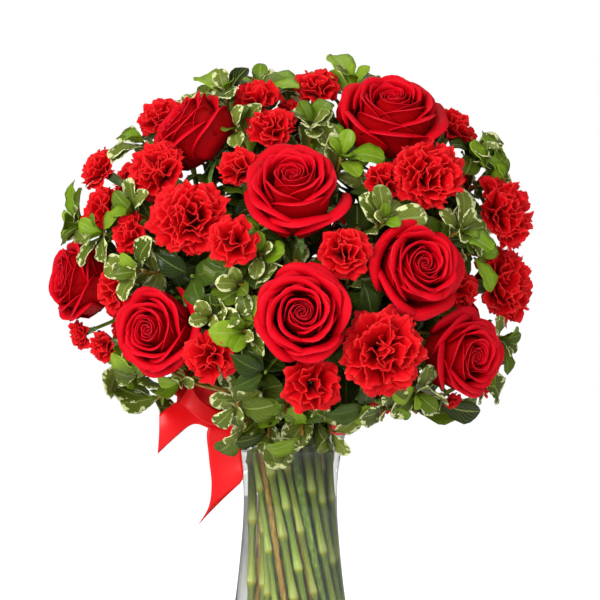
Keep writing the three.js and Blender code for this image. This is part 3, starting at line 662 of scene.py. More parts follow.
def rose_petals():
    """The petals of a rose one unit wide, and the field (across, up, age) of each corner.

    Up a petal, a Bezier curve swells from the hip to the shoulder, then an arc rolls the lip outward.
    Across it, that curve is swept round the axis, drawn in at the foot, flatter and more rolled towards
    the corners, which are cut round, so that the middle of the lip stands out as a soft point.
    """
    age = np.linspace(0, 1, ROSE_PETALS)
    at = np.arange(ROSE_PETALS) * GOLDEN + rng.normal(0, 0.2, ROSE_PETALS)
    chance = rng.random((5, ROSE_PETALS, 1, 1))
    u = np.linspace(-1, 1, ROSE_COLUMNS)[None, None, :]
    row = ROSE_ROWS[None, :, None]
    cut = 1 - by_age(age, 0.04, 0.1, 0.16, 0.2, 0.22) * np.abs(u) ** 2.2
    v = row * cut
    half = np.radians(by_age(age, 170, 118, 84, 68, 60, 56, 54))
    rim = by_age(age, 0.022, 0.062, 0.115, 0.17, 0.225, 0.275, 0.32, 0.35)
    height = by_age(age, 0.115, 0.135, 0.15, 0.155, 0.135, 0.09, 0.02, -0.07) + 0.024 * (chance[0] - 0.5)
    belly = rim + by_age(age, 0.02, 0.03, 0.035, 0.03, 0.02, 0.01)
    inward = by_age(age, 0.0, 0.012, 0.01, -0.01, -0.04, -0.08)
    s = np.clip(row / LIP_FROM, 0, 1) * cut
    q = np.clip((row - LIP_FROM) / (1 - LIP_FROM), 0, 1)
    shape = (1 - s) ** 3, 3 * s * (1 - s) ** 2, 3 * s**2 * (1 - s), s**3
    waist, shoulder = belly * 1.25 + 0.02, belly + 0.5 * inward
    r = shape[0] * PETAL_FOOT + shape[1] * waist + shape[2] * shoulder + shape[3] * rim
    z = shape[0] * PETAL_LOW + shape[1] * (PETAL_LOW + 0.1) + shape[2] * (height - 0.17) + shape[3] * height
    lean = np.arctan2(0.17, rim - shoulder)
    roll = np.radians(by_age(age, 8, 30, 62, 88, 105, 118, 128)) * (0.7 + 0.5 * chance[0])
    roll = roll * (1 - 0.3 * u**4)
    lip = by_age(age, 0.01, 0.022, 0.034, 0.05, 0.07, 0.095, 0.125) * (0.85 + 0.3 * chance[1])
    lip = lip * (1 - 0.6 * np.abs(u) ** 5)
    r = r + lip / roll * (np.sin(lean) - np.sin(lean - roll * q))
    z = z + lip / roll * (np.cos(lean - roll * q) - np.cos(lean))
    tip = by_age(age, 0, 0.0, 0.006, 0.012, 0.02, 0.028) * (1 - u**2) ** 2 * q**2
    r = r * (1 + by_age(age, 0, 0.02, 0.05, 0.07, 0.09) * u**2) + 0.03 * u * s + tip
    wave = 0.012 * v**3 * np.sin(np.pi * (1.2 + chance[2]) * u + 6.3 * chance[3])
    r = r + wave * by_age(age, 0.3, 0.8, 1.2, 1.6)
    z = z + 0.7 * wave * by_age(age, 0.2, 0.6, 1.0, 1.6)
    tilt = np.radians(by_age(age, 0, 1, 2, 4, 7)) * (2 * chance[4] - 0.8)
    out, above = r - PETAL_FOOT, z - PETAL_LOW
    r = PETAL_FOOT + out * np.cos(tilt) + above * np.sin(tilt)
    z = PETAL_LOW + above * np.cos(tilt) - out * np.sin(tilt)
    around = at[:, None, None] + half * u * (0.55 + 0.45 * s)
    return round_z(r, around, z), stacked(u, v, age[:, None, None] + 0.08 * (chance[0] - 0.5))


def velvet(name, stops, back, sheen, sheen_weight, glow, veins):
    """Petal skin: colour climbs the petal from its foot to the lip, over faint veins that run lengthwise, and
    is multiplied on the petal's back; the ramp's dark low stops are painted shade at the foot, deep in the
    bloom, and its brightest last stop is a painted highlight along the lip. The cells' domes give a soft,
    tinted sheen, and some light comes through.
    """
    material, add = new_material(name)
    field = add("Attribute", attribute_name="petal").outputs["Vector"]
    parts = add("SeparateXYZ", {"Vector": field}).outputs
    stretch = add("Mapping", {"Vector": field, "Scale": veins})
    vein = add("TexNoise", {"Vector": stretch, "Scale": 1.0, "Detail": 2.0})
    uneven = add("Math", {0: vein, 1: 0.12, 2: -0.06}, "MULTIPLY_ADD")
    climb = add("Math", {0: parts["Y"], 1: uneven}, "ADD")
    # The ramp paints shade at the petal's foot and a highlight at its lip.
    ramp = add("ValToRGB", {"Fac": climb}, stops=stops)
    behind = add("Math", {0: parts["X"], 1: BACK_SKIN / 2}, "GREATER_THAN")
    shaded = add("Mix", {0: behind, 6: ramp, 7: linear(back)}, data_type="RGBA", blend_type="MULTIPLY")
    colour = shaded.outputs[2]
    relief = add("Bump", {"Height": vein, "Strength": 0.25, "Distance": 0.3 * MM})
    skin = add("BsdfPrincipled", {
        "Base Color": colour, "Normal": relief, "Roughness": 0.6, "Specular IOR Level": 0.13,
        "Sheen Weight": sheen_weight, "Sheen Roughness": 0.35, "Sheen Tint": linear(sheen),
    })
    through = add("BsdfTranslucent", {"Color": colour})
    both = add("MixShader", {0: glow, 1: skin, 2: through})
    add("OutputMaterial", {"Surface": both})
    return material


# Rose velvet: the ramp paints shade as deep crimson towards each petal's foot, down in the folds, and a
# painted highlight as a thin brighter line where a lip turns over; the back is paler and duller.
rose_velvet = velvet("red_rose_petal", (
    (0.2, "#9E000C"), (0.42, "#C40012"), (0.7, "#D20014"), (0.96, "#D8001A"), (1.0, "#DE1C34"),
), back="#DC96AA", sheen="#FF3A4A", sheen_weight=0.08, glow=0.28, veins=(26.0, 3.0, 40.0))
for plant, _ in plants_of("rose"):
    middle, axis, width = blooms[plant][0]
    petals, field = rose_petals()
    points, faces, rim = thin_sheets(petals * width, PETAL_THICKNESS)
    points = placed(points, middle, axis, rng.uniform(0, 2 * np.pi))
    field = np.stack([field + [BACK_SKIN, 0, 0], field], axis=1)
    piece_of(plant + "_petals", points, faces, rose_velvet, [plant + "_bloom"], "rose_petal",
             {"petal": field}, rim)


# ---- Rose hips and sepals ----
# Under each rose the stem swells to a small green hip, and five narrow sepals with long points hang back
# from it.

SEPALS, SEPAL_ROWS, SEPAL_COLUMNS = 5, 9, 5
SEPAL_THICKNESS = 0.6 * MM
HIP_SIDES = 16
HIP_PROFILE = [
    (0.004, -0.56), (0.035, -0.56), (0.07, -0.52), (0.085, -0.47), (0.07, -0.42), (0.03, -0.39),
    (0.004, -0.39),
]


def mottled_green(name, colours, scale, roughness, shine):
    """Green plant skin: a fine mottle between two greens, laid out in the piece's own metres."""
    material, add = new_material(name)
    place = add("TexCoord").outputs["Object"]
    mottle = add("TexNoise", {"Vector": place, "Scale": scale, "Detail": 3.0})
    ramp = add("ValToRGB", {"Fac": mottle}, stops=zip((0.35, 0.7), colours))
    skin = add("BsdfPrincipled", {"Base Color": ramp, "Roughness": roughness, "Specular IOR Level": shine})
    add("OutputMaterial", {"Surface": skin})
    return material


# The sepals are matt, leaf-green against the red, and lighter than the rose's own leaves.
calyx_green = mottled_green("matt_green_calyx", ("#4A6B2A", "#86A457"), scale=300.0, roughness=0.6, shine=0.3)
hip, hip_faces = turned(HIP_PROFILE, HIP_SIDES)
v = np.linspace(0, 1, SEPAL_ROWS)[None, :, None]
u = np.linspace(-1, 1, SEPAL_COLUMNS)[None, None, :]
half = 0.055 * (1 - v) ** 0.8 * (0.7 + 1.2 * v * (1 - v)) + 0.002
for plant, _ in plants_of("rose"):
    middle, axis, width = blooms[plant][0]
    at = np.linspace(0, 2 * np.pi, SEPALS, endpoint=False)[:, None, None]
    at = at + rng.normal(0, 0.15, (SEPALS, 1, 1))
    r = 0.06 + rng.uniform(0.26, 0.4, (SEPALS, 1, 1)) * np.sin(1.5 * v)
    droop = 0.12 * rng.random((SEPALS, 1, 1)) * v + 0.24 * v**2 * rng.uniform(-0.2, 1, (SEPALS, 1, 1))
    z = -0.43 - droop + 0.3 * half * u**2
    leafy, leafy_faces, _ = thin_sheets(round_z(r, at, z, half * u) * width, SEPAL_THICKNESS)
    points = placed(np.concatenate([hip * width, leafy]), middle, axis)
    faces = hip_faces + (leafy_faces + len(hip)).tolist()
    piece_of(plant + "_calyx", points, faces, calyx_green, [plant + "_bloom"], "rose_stem")


# ---- The carnations ----
# Red carnations, large ones alone on a stem and small ones in sprays: two or three dozen crimped petals
# with toothed rims burst from a long green calyx and spread into a dome.

LARGE = {"number": 36, "columns": 25, "rows": np.array([0, 0.3, 0.55, 0.76, 0.91, 1.0]), "breadth": 0.21}
SMALL = {"number": 20, "columns": 15, "rows": np.array([0, 0.35, 0.65, 0.87, 1.0]), "breadth": 0.24}
CARNATION_THICKNESS = 0.4 * MM
CALYX_SIDES = 14
CALYX_PROFILE = [
    (0.004, -0.56), (0.05, -0.56), (0.075, -0.52), (0.07, -0.46), (0.085, -0.42), (0.088, -0.34),
    (0.085, -0.27), (0.095, -0.23), (0.075, -0.25), (0.04, -0.27), (0.004, -0.27),
]


def carnation_petals(number, columns, rows, breadth):
    """The petals of a carnation one unit wide, and the field (across, up, age) of each corner.

    Each petal's middle line bends from the mouth of the calyx up and out to its own place on the dome.
    The blade widens along it like a fan; waves across it ruffle it more and more towards the rim, which
    is cut in uneven teeth. The heart's petals stand upright, twisted every way and crumpled together.
    """
    age = ((np.arange(number) + 0.5) / number)[:, None, None] ** 1.15
    lean = np.arccos(1 - 1.2 * age) + rng.normal(0, 0.09, (number, 1, 1))
    lean = np.clip(lean, 0.02, 1.9)
    at = (np.arange(number) * GOLDEN)[:, None, None] + rng.normal(0, 0.3, (number, 1, 1))
    chance = rng.random((8, number, 1, 1))
    u = np.linspace(-1, 1, columns)[None, None, :]
    v = rows[None, :, None]
    teeth = 0.065 * rng.random((number, 1, columns)) * v**8
    uneven = 1 - 0.2 * u**2 - teeth + 0.06 * np.sin(5 * u + 6.3 * chance[0]) * v**3
    s = v * uneven * (0.93 + 0.14 * chance[1])
    heart = (1 - age) ** 2
    start = 0.02, -0.27
    bend = 0.02 + 0.14 * np.sin(lean), 0.0
    end = 0.46 * np.sin(lean) ** 0.85 - 0.07 * heart, -0.02 + 0.3 * np.cos(lean)
    r, z = ((1 - s) ** 2 * a + 2 * s * (1 - s) * b + s**2 * c for a, b, c in zip(start, bend, end))
    dr, dz = ((1 - s) * (b - a) + s * (c - b) for a, b, c in zip(start, bend, end))
    size = np.hypot(dr, dz)
    back_r, back_z = -dz / size, dr / size
    twist = (chance[2] - 0.5) * np.radians(170) * np.cos(0.62 * lean) ** 3 * v
    half = (0.018 + breadth * v**1.25) * (0.8 + 0.4 * chance[3]) * (1 - 0.3 * heart)
    waves = 0.6 + 0.6 * chance[4]
    ruffle = (0.05 + 0.03 * heart) * v**2.2 * np.sin(2 * np.pi * waves * u / 1.5 + 6.3 * chance[5])
    ruffle = ruffle + 0.011 * v**3 * np.sin(2 * np.pi * 2.3 * u + 6.3 * chance[6])
    ruffle = ruffle + 0.07 * (chance[7] - 0.4) * u**2 * v
    sideways = half * u * np.cos(twist) - ruffle * np.sin(twist)
    off = half * u * np.sin(twist) + ruffle * np.cos(twist)
    r, z = r + off * back_r, z + off * back_z
    return round_z(r, at, z, sideways), stacked(u, v - teeth, age)


def carnation_head(middle, axis, width, make):
    """One bloom's petals in place, and their field."""
    petals, field = carnation_petals(**make)
    return placed(petals * width, middle, axis, rng.uniform(0, 2 * np.pi)), field


# Carnation petals are a brighter, thinner red than rose velvet; the ramp paints shade towards each petal's
# foot, and on their crimped rims a painted highlight, a net of pale coral lines.
carnation_velvet = velvet("red_carnation_petal", (
    (0.3, "#B4020C"), (0.62, "#D00612"), (0.88, "#DE0C18"), (0.97, "#E62026"), (1.0, "#F4483E"),
), back="#FFFFFF", sheen="#FF7A70", sheen_weight=0.12, glow=0.34, veins=(30.0, 3.0, 40.0))
# The calyx is a cool grey-green, half matt under its wax.
waxy_green = mottled_green("waxy_carnation_calyx", ("#6F9A55", "#A9C486"), scale=260.0, roughness=0.5,
                           shine=0.35)
calyx, calyx_faces = turned(CALYX_PROFILE, CALYX_SIDES)
for plant, kind in plants_of("carnation", "mini"):
    small = kind == "mini"
    heads = [carnation_head(*bloom, SMALL if small else LARGE) for bloom in blooms[plant]]
    petals, field = (np.concatenate(part) for part in zip(*heads))
    points, faces, rim = thin_sheets(petals, CARNATION_THICKNESS)
    cad_node = plant if small else plant + "_bloom"
    slot = "spray_carnation" if small else "carnation_petal"
    piece_of(plant + "_petals", points, faces, carnation_velvet, [cad_node], slot,
             {"petal": np.repeat(field[:, None], 2, axis=1)}, rim)
    points, faces, _ = together([
        (placed(calyx * width, middle, axis), calyx_faces, calyx)
        for middle, axis, width in blooms[plant]
    ])
    piece_of(plant + ("_calyxes" if small else "_calyx"), points, faces, waxy_green, [cad_node], slot)


# ---- Leaves: blades ----
# Leaves are thin sheets: each grows from a place on its twig to its tip, folded a little along the
# midrib, arched and waved at the margin.

LEAF_COLUMNS = 5
STAR_LEAVES, SHORTEST_LEAF = 5, 0.6
# A slanting direction, from which the turns round a twig are counted.
ASLANT = np.array([0.3, 0.5, 0.81])
TWIG_END, HEADING_STEP, LEANS = 6 * MM, 5 * MM, (45, 75)
WHORL_FOOT, YOUNG_FOOT = 2.5 * MM, 1.5 * MM
BLOOM_DROP, BLOOM_REACH = 0.06, 0.44
every_bloom = [bloom for plant in plants for bloom in blooms.get(plant, [])]
bloom_middle = np.array([middle - BLOOM_DROP * width * axis for middle, axis, width in every_bloom])
bloom_reach = np.array([BLOOM_REACH * width for _, _, width in every_bloom])
DOME_FOOT = 214 * MM
LIP_INNER, LIP_OUTER = 56 * MM, 68 * MM
SKIRT_LOW = np.array([-58, -100, 184]) * MM
SKIRT_HIGH = np.array([48, -52, 214]) * MM
BOW_FROM_AXIS = 70 * MM
BOW_MARGIN = np.array([0, 60, -4]) * MM
bow_places = corners_of("ribbon")[0]
bow_places = bow_places[np.hypot(bow_places[:, 0], bow_places[:, 1]) > BOW_FROM_AXIS]
bow_limit = bow_places.max(0) + BOW_MARGIN


def leaf_blades(foot, tip, face, tone, breadth, belly, rows, fold, arch):
    """Blades one after another: across a blade, half its breadth follows v^a (1 - v)^b, widest at its
    belly; the blade lifts off the straight line from foot to tip by the arch, by the fold and by a wave
    along the margin.
    """
    span = tip - foot
    length = lengths(span)[:, None, None, None]
    along = unit(span)
    face = unit(face - (face * along).sum(1, keepdims=True) * along)
    side = np.cross(along, face)
    chance = rng.random((3, len(foot), 1, 1))
    u = np.linspace(-1, 1, LEAF_COLUMNS)[None, None, :]
    v = 0.012 + 0.984 * (1 - (1 - np.linspace(0, 1, rows)) ** 1.5)[None, :, None]
    low, high = 1.15, 1.15 * (1 - belly) / belly
    outline = v**low * (1 - v) ** high / (belly**low * (1 - belly) ** high)
    half = breadth * outline + 0.012
    rise = arch * np.sin(np.pi * v) * (0.5 + chance[0]) + fold * half * np.abs(u)
    rise = rise + 0.036 * u**2 * np.sin(2 * np.pi * (2.4 * v + chance[1]) + np.sign(u) * 1.3)
    sway = 0.06 * (chance[2] - 0.5) * np.sin(np.pi * v)
    ways = (v, along), (half * u + sway, side), (rise, face)
    points = foot[:, None, None] + length * sum(q[..., None] * d[:, None, None] for q, d in ways)
    return points, stacked(u, v, tone[:, None, None])


def leaf_material(name, greens, vein, margin, gloss):
    """Leaf: a green of its own for each, paler along the midrib and side veins, its margin blotched where
    the leaf is variegated; light comes through the blade faintly, and the cuticle shines.
    """
    material, add = new_material(name)
    field = add("Attribute", attribute_name="blade").outputs["Vector"]
    parts = add("SeparateXYZ", {"Vector": field}).outputs
    ramp = add("ValToRGB", {"Fac": parts["Z"]}, stops=greens)
    from_rib = add("Math", {0: parts["X"]}, "ABSOLUTE")
    where = add("TexCoord").outputs["Object"]
    blotch = add("TexNoise", {"Vector": where, "Scale": 230.0, "Detail": 3.0})
    slant = add("Math", {0: from_rib, 1: -0.45, 2: parts["Y"]}, "MULTIPLY_ADD")
    comb = add("Math", {0: slant, 1: 50.0}, "MULTIPLY")
    ripple = add("Math", {0: comb}, "SINE")
    rib = add("MapRange", {"Value": from_rib, "From Min": 0.1, "From Max": 0.02})
    side_vein = add("MapRange", {"Value": ripple, "From Min": 0.75, "To Max": 0.4})
    veins = add("Math", {0: rib, 1: side_vein}, "MAXIMUM")
    shade = add("Math", {0: blotch, 1: 0.5, 2: 0.75}, "MULTIPLY_ADD")
    uneven = add("VectorMath", {0: ramp, "Scale": shade}, "SCALE")
    vein_share = add("Math", {0: veins, 1: 0.55}, "MULTIPLY")
    veined = add("Mix", {0: vein_share, 6: uneven, 7: linear(vein)}, data_type="RGBA")
    colour = veined.outputs[2]
    if margin:
        inside = add("Math", {0: 1.0, 1: from_rib}, "SUBTRACT")
        tip_share = add("Math", {0: parts["Y"], 1: -2.2, 2: 2.2}, "MULTIPLY_ADD")
        edge = add("Math", {0: inside, 1: tip_share}, "MINIMUM")
        reach = add("MapRange", {
            "Value": blotch, "From Min": 0.42, "From Max": 0.66, "To Min": -0.03, "To Max": 0.5,
        })
        combed = add("Math", {0: ripple, 1: 0.05, 2: reach}, "MULTIPLY_ADD")
        over = add("Math", {0: combed, 1: edge}, "SUBTRACT")
        crisp = add("MapRange", {"Value": over, "From Min": -0.02, "From Max": 0.05})
        kind = add("MapRange", {"Value": parts["Z"], "From Min": 0.47, "From Max": 0.45})
        pale = add("Math", {0: crisp, 1: kind}, "MULTIPLY")
        rimmed = add("Mix", {0: pale, 6: colour, 7: linear(margin)}, data_type="RGBA")
        colour = rimmed.outputs[2]
    relief = add("Bump", {"Height": veins, "Strength": 0.3, "Distance": 0.3 * MM})
    skin = add("BsdfPrincipled", {
        "Base Color": colour, "Normal": relief, "Roughness": gloss, "Specular IOR Level": 0.26,
    })
    through = add("BsdfTranslucent", {"Color": colour})
    both = add("MixShader", {0: 0.22, 1: skin, 2: through})
    add("OutputMaterial", {"Surface": both})
    return material


def tips_of(whorl):
    """The feet, the tips and the upward side of the five leaves of a star: its longest spokes."""
    middle, axis, spokes = whorl
    reach = lengths(spokes)
    longest = spokes[np.argsort(-reach)][:STAR_LEAVES]
    longest = longest[lengths(longest) > SHORTEST_LEAF * reach.max()]
    stray = rng.normal(0, 0.12, longest.shape) * reach.max()
    longest = longest * rng.uniform(0.84, 1.02, (len(longest), 1)) + stray
    tip = middle + STAR_MIDDLE * axis + longest
    foot = middle + WHORL_FOOT * unit(longest - (longest @ axis)[:, None] * axis)
    return foot, tip, np.broadcast_to(axis, foot.shape)


def clear(points):
    """Which points are free for a leaf: outside every bloom, whose petals would hide it, and above the
    vase, in the ring just round its lip, or in the skirt that hangs over the neck at the front; but never
    under or behind the bow, where the ribbon is drawn out from the leaves.
    """
    away = lengths(points[:, None] - bloom_middle) > bloom_reach
    from_axis = np.hypot(points[:, 0], points[:, 1])
    round_lip = (from_axis > LIP_INNER) & (from_axis < LIP_OUTER)
    in_skirt = (points > SKIRT_LOW).all(1) & (points < SKIRT_HIGH).all(1) & (from_axis > LIP_INNER)
    at_bow = (points < bow_limit).all(1)
    return away.all(1) & ((points[:, 2] > DOME_FOOT) | round_lip | in_skirt) & ~at_bow


def golden_turns(heading, number):
    """Directions square to a heading, each a golden angle on from the last, from a random start."""
    turn = (np.arange(number) * GOLDEN + rng.uniform(0, 6.3))[:, None]
    side = unit(np.cross(heading, ASLANT))
    return np.cos(turn) * side + np.sin(turn) * np.cross(heading, side)


def leaves_along(line, reach, spacing, shortest, longest):
    """Feet, tips, upward sides and tones of single leaves up a twig: each stands a golden angle on from
    the last, leaning out from the twig. The lower, older leaves are longer, and their tones lean to the
    ramp's dark end: partly the darker green of old leaves, partly painted shade deep in the bouquet.
    """
    end = way_along(line)[-1]
    at = np.arange(end - TWIG_END, max(end - reach, 0), -spacing)
    if not len(at):
        return np.zeros((0, 3)), np.zeros((0, 3)), np.zeros((0, 3)), np.zeros(0)
    foot = places_at(line, at)
    heading = unit(foot - places_at(line, at - HEADING_STEP) + 1e-6)
    outward = golden_turns(heading, len(at))
    older_with_painted_shade = np.linspace(0, 1, len(at))
    length = (rng.uniform(shortest, longest, len(at)) * (1 + 0.25 * older_with_painted_shade))[:, None]
    lean = np.radians(rng.uniform(*LEANS, len(at)))[:, None]
    tip = foot + length * (np.cos(lean) * heading + np.sin(lean) * outward)
    # Lower, older leaves lean to the dark end of the ramp: partly older green, partly painted shade.
    return foot, tip, heading, rng.random(len(at)) ** (1 - 0.7 * older_with_painted_shade)


def leaf_piece(plant, groups, material, tested, thickness, **shape):
    """A plant's leaves as one piece, from groups of (feet, tips, upward sides, tones): those that are clear
    at each tested share of their length.
    """
    foot, tip, face, tone = (np.concatenate(part) for part in zip(*groups))
    free = np.all([clear((1 - share) * foot + share * tip) for share in tested], axis=0)
    sheets, field = leaf_blades(foot[free], tip[free], face[free], tone[free], **shape)
    points, faces, rim = thin_sheets(sheets, thickness)
    piece_of(plant + "_leaves", points, faces, material, [plants[plant]], "leaf",
             {"blade": np.repeat(field[:, None], 2, axis=1)}, rim)


# ---- Rose leaves ----
# Rose leaves have five oval, pointed leaflets, dark green and glossy: three leaves stand out below each
# flower, and single leaflets of the lower ones fill the gaps between the stems, their tones drawn towards
# the ramp's near-black end, which is partly their own deeper green and partly painted shade.

ROSE_LEAF = {"breadth": 0.29, "belly": 0.45, "rows": 10, "fold": 0.3, "arch": 0.08}
ROSE_LEAF_THICKNESS = 0.5 * MM
LEAFLET_REACH, LEAFLET_SPACING = 120 * MM, 12 * MM
LEAFLET_LENGTHS = (36 * MM, 50 * MM)
BARE_TOP = 6
# A rose leaf is dark and glossy: the lamps draw one soft streak down each side of its paler midrib.
rose_leaf = leaf_material("glossy_rose_leaf", (
    (0.0, "#3E5414"), (0.5, "#2A3C0A"), (1.0, "#182406"),
), vein="#6C7C34", margin=None, gloss=0.34)
for plant, _ in plants_of("rose"):
    if not whorls[plant]:
        continue
    groups = [(*leaf, rng.random(len(leaf[0]))) for leaf in map(tips_of, whorls[plant])]
    groups.append(leaves_along(stems[plant][:-BARE_TOP], LEAFLET_REACH, LEAFLET_SPACING, *LEAFLET_LENGTHS))
    leaf_piece(plant, groups, rose_leaf, [1], ROSE_LEAF_THICKNESS, **ROSE_LEAF)


# ---- Pittosporum leaves ----
# The greenery is variegated pittosporum: small oval leaves in whorls at the twig ends and singly below,
# grey-green with a wavy cream margin, some plain bright green.

LEAF = {"breadth": 0.3, "belly": 0.67, "rows": 8, "fold": 0.26, "arch": 0.12}
LEAF_THICKNESS = 0.45 * MM
LEAF_REACH, LEAF_SPACING = 200 * MM, 5.6 * MM
LEAF_LENGTHS = (24 * MM, 36 * MM)
# Star leaves at the twig ends keep tones below this, clear of the ramp's near-black end of painted shade.
STAR_TONE_CAP = 0.86
YOUNG_LEAVES = 3
YOUNG_LENGTHS, YOUNG_TONES = (15, 22), (0.3, 0.72)
# Half of the leaves are grey-green and combed with cream from the margin inwards, which lights up the
# greenery; young ones are a bright, plain yellow-green, old ones dark green, and the near-black end of
# the ramp is painted shade for the older leaves down in the bouquet. All have a half-gloss.
pittosporum = leaf_material("variegated_pittosporum_leaf", (
    (0.0, "#42520C"), (0.22, "#5A6A1A"), (0.4, "#727C2C"), (0.5, "#4C5C0E"), (0.64, "#6C8E10"),
    (0.71, "#86A422"), (0.78, "#3C500C"), (1.0, "#1C2A06"),
), vein="#A2AC5C", margin="#D4D89C", gloss=0.38)
for plant, _ in plants_of("leaf"):
    groups = [(*star, STAR_TONE_CAP * rng.random(len(star[0]))) for star in map(tips_of, whorls[plant])]
    for middle, axis, _ in whorls[plant]:
        outward = golden_turns(axis, YOUNG_LEAVES)
        length = rng.uniform(*YOUNG_LENGTHS, (YOUNG_LEAVES, 1)) * MM
        foot = middle + YOUNG_FOOT * outward
        tip = foot + length * unit(0.8 * axis + 0.6 * outward)
        tone = rng.uniform(*YOUNG_TONES, YOUNG_LEAVES)
        groups.append((foot, tip, np.broadcast_to(axis, foot.shape), tone))
    for line in shoots[plant]:
        leafy_way = 0.9 * np.linalg.norm(line[-1] - line[0])
        groups.append(leaves_along(line, leafy_way, LEAF_SPACING, *LEAF_LENGTHS))
    groups.append(leaves_along(stems[plant], LEAF_REACH, LEAF_SPACING, *LEAF_LENGTHS))
    leaf_piece(plant, groups, pittosporum, [0.5, 1], LEAF_THICKNESS, **LEAF)


# ---- The ribbon ----
# One length of red double-faced satin, tied round the neck at the left of the front: the band, a folded
# knot, a loop that stands up to the left, and two tails with slanting cuts, the long one hanging down
# beside the glass.

SATIN_THICKNESS = 0.4 * MM
BAND, BAND_OFF = (197 * MM, 208 * MM), 0.8 * MM
BOW_TURN, BOW_HEIGHT = np.radians(-58), 206 * MM
KNOT, KNOT_OFF = np.array([6.5, 4.0, 7.5]) * MM, 4.5 * MM
LOOP_WIDTH = 22 * MM
LOOP_LINE = np.array([
    [0, 0, 0], [10, 6, -3], [24, 10, -5], [38, 9, -3], [46, 1, 1], [40, -8, 4], [26, -10, 5], [12, -7, 3],
    [0, 0, 0],
]) * MM
LOOP_ROLL = np.radians([10, 6, 2, -2, -6, -15, -30, -20, 0])
LOOP_GATHER = np.array([0.45, 0.56, 0.6, 0.64, 0.85, 1, 1, 0.8, 0.45])
LOOP_TURN, LOOP_TIP = np.radians((186, 32))
SHORT_TAIL = np.array([
    [[-2, 0, 8], [-24, -1, 16], [-43, -3, 18], [-52, -5, 13], [-59, -7, 8]],
    [[-2, 0, -8], [-18, -3, -4], [-32, -5, 0], [-46, -8, -10], [-60, -10, -23]],
]) * MM
LONG_TAIL = np.array([
    [[-9, 0, 5], [-21, -4, -4], [-20, -6, -26], [-18, -6, -47], [-20, -4, -64], [-28, -1, -79]],
    [[5, -1, 2], [5, -5, -14], [6, -6, -26], [7, -7, -36], [7, -6, -42], [5, -6, -47]],
]) * MM
# Satin throws a long, soft highlight across its width and stays a flat, pure red between; the weave only
# shows as the finest ribs along the ribbon.
satin, add = new_material("red_satin_ribbon")
weave = add("Attribute", attribute_name="ribbon").outputs["Vector"]
ribs = add("TexWave", {"Vector": weave, "Scale": 0.5, "Distortion": 0.3}, bands_direction="X")
relief = add("Bump", {"Height": ribs.outputs["Fac"], "Strength": 0.12, "Distance": 0.1 * MM})
cloth = add("BsdfPrincipled", {
    "Base Color": linear("#D20A10"), "Normal": relief, "Roughness": 0.36, "Specular IOR Level": 0.3,
    "Anisotropic": 0.5, "Sheen Weight": 0.02, "Sheen Roughness": 0.4, "Sheen Tint": linear("#FF8A80"),
})
add("OutputMaterial", {"Surface": cloth})


def curve_through(places, number):
    """A curve through places at even shares: Hermite cubics whose headings are the neighbours' chords."""
    slope = np.gradient(places, axis=0)
    t = np.linspace(0, len(places) - 1, number)
    i = np.minimum(t.astype(int), len(places) - 2)
    return hermite((t - i)[:, None], places[i], places[i + 1], slope[i], slope[i + 1])


def between(edges, rows, columns, cup, ripple):
    """A strip between two edges: straight across, plus a cup that is deepest halfway across and grows
    along the strip, and a ripple that runs along it; the strip's ends stay where the edges end.
    """
    one, other = curve_through(edges[0], rows), curve_through(edges[1], rows)
    share = np.linspace(0, 1, columns)[None, :, None]
    flat = one[:, None] + (other - one)[:, None] * share
    face = unit(np.cross(np.gradient(one, axis=0), other - one))[:, None]
    way = np.linspace(0, 1, rows)[:, None, None]
    lift = cup * np.sin(np.pi * share) * way + ripple * np.sin(2 * np.pi * (1.5 * way + 0.2 * share)) * way
    return flat + face * lift


def ribbon_piece(name, sheet):
    """One stretch of the ribbon as a closed sheet; its field gives each corner's place on the ribbon laid
    flat, in millimetres.
    """
    points, faces, rim = thin_sheets(sheet[None], SATIN_THICKNESS)
    across = lengths(np.diff(sheet, axis=1)).sum(1)
    along = lengths(np.diff(sheet, axis=0)).sum(0)
    grid = stacked(
        np.linspace(0, across.mean() / MM, sheet.shape[1])[None, :],
        np.linspace(0, along.mean() / MM, sheet.shape[0])[:, None], 0.0,
    )
    field = np.stack([grid, grid])
    piece = piece_of(name, points, faces, satin, ["ribbon"], "satin", {"ribbon": field}, rim)


# The band goes once round the glass, from behind the knot to behind the knot.
round_turn = BOW_TURN + np.radians(np.linspace(4, 356, 120))[:, None]
band_z = np.linspace(*BAND, 6)[None, :] + 0.5 * MM * np.sin(3 * round_turn)
band_r = wall_curve(band_z) + BAND_OFF + 0.25 * MM * np.sin(9 * round_turn)
band = stacked(band_r * np.sin(round_turn), -band_r * np.cos(round_turn), band_z)
ribbon_piece("ribbon_band", band)

knot_out = np.array([np.sin(BOW_TURN), -np.cos(BOW_TURN), 0])
knot_side = np.array([np.cos(BOW_TURN), np.sin(BOW_TURN), 0])
knot_at = knot_out * (wall_curve(BOW_HEIGHT) + KNOT_OFF) + np.array([0, 0, BOW_HEIGHT])
# The knot is a fold of ribbon wound once over the crossing, pinched where it is pulled tight.
wind = np.radians(np.linspace(-168, 168, 40))[:, None]
across = np.linspace(-1, 1, 15)[None, :]
pinch = 1 - 0.18 * np.cos(2 * np.pi * across) + 0.06 * np.sin(9 * across)
knot = knot_at + (
    (KNOT[1] * pinch * np.cos(wind))[..., None] * knot_out
    + (KNOT[2] * pinch * np.sin(wind))[..., None] * UP
    + (KNOT[0] * across * (0.8 + 0.2 * np.abs(np.sin(wind))))[..., None] * knot_side
)
ribbon_piece("ribbon_knot", knot)

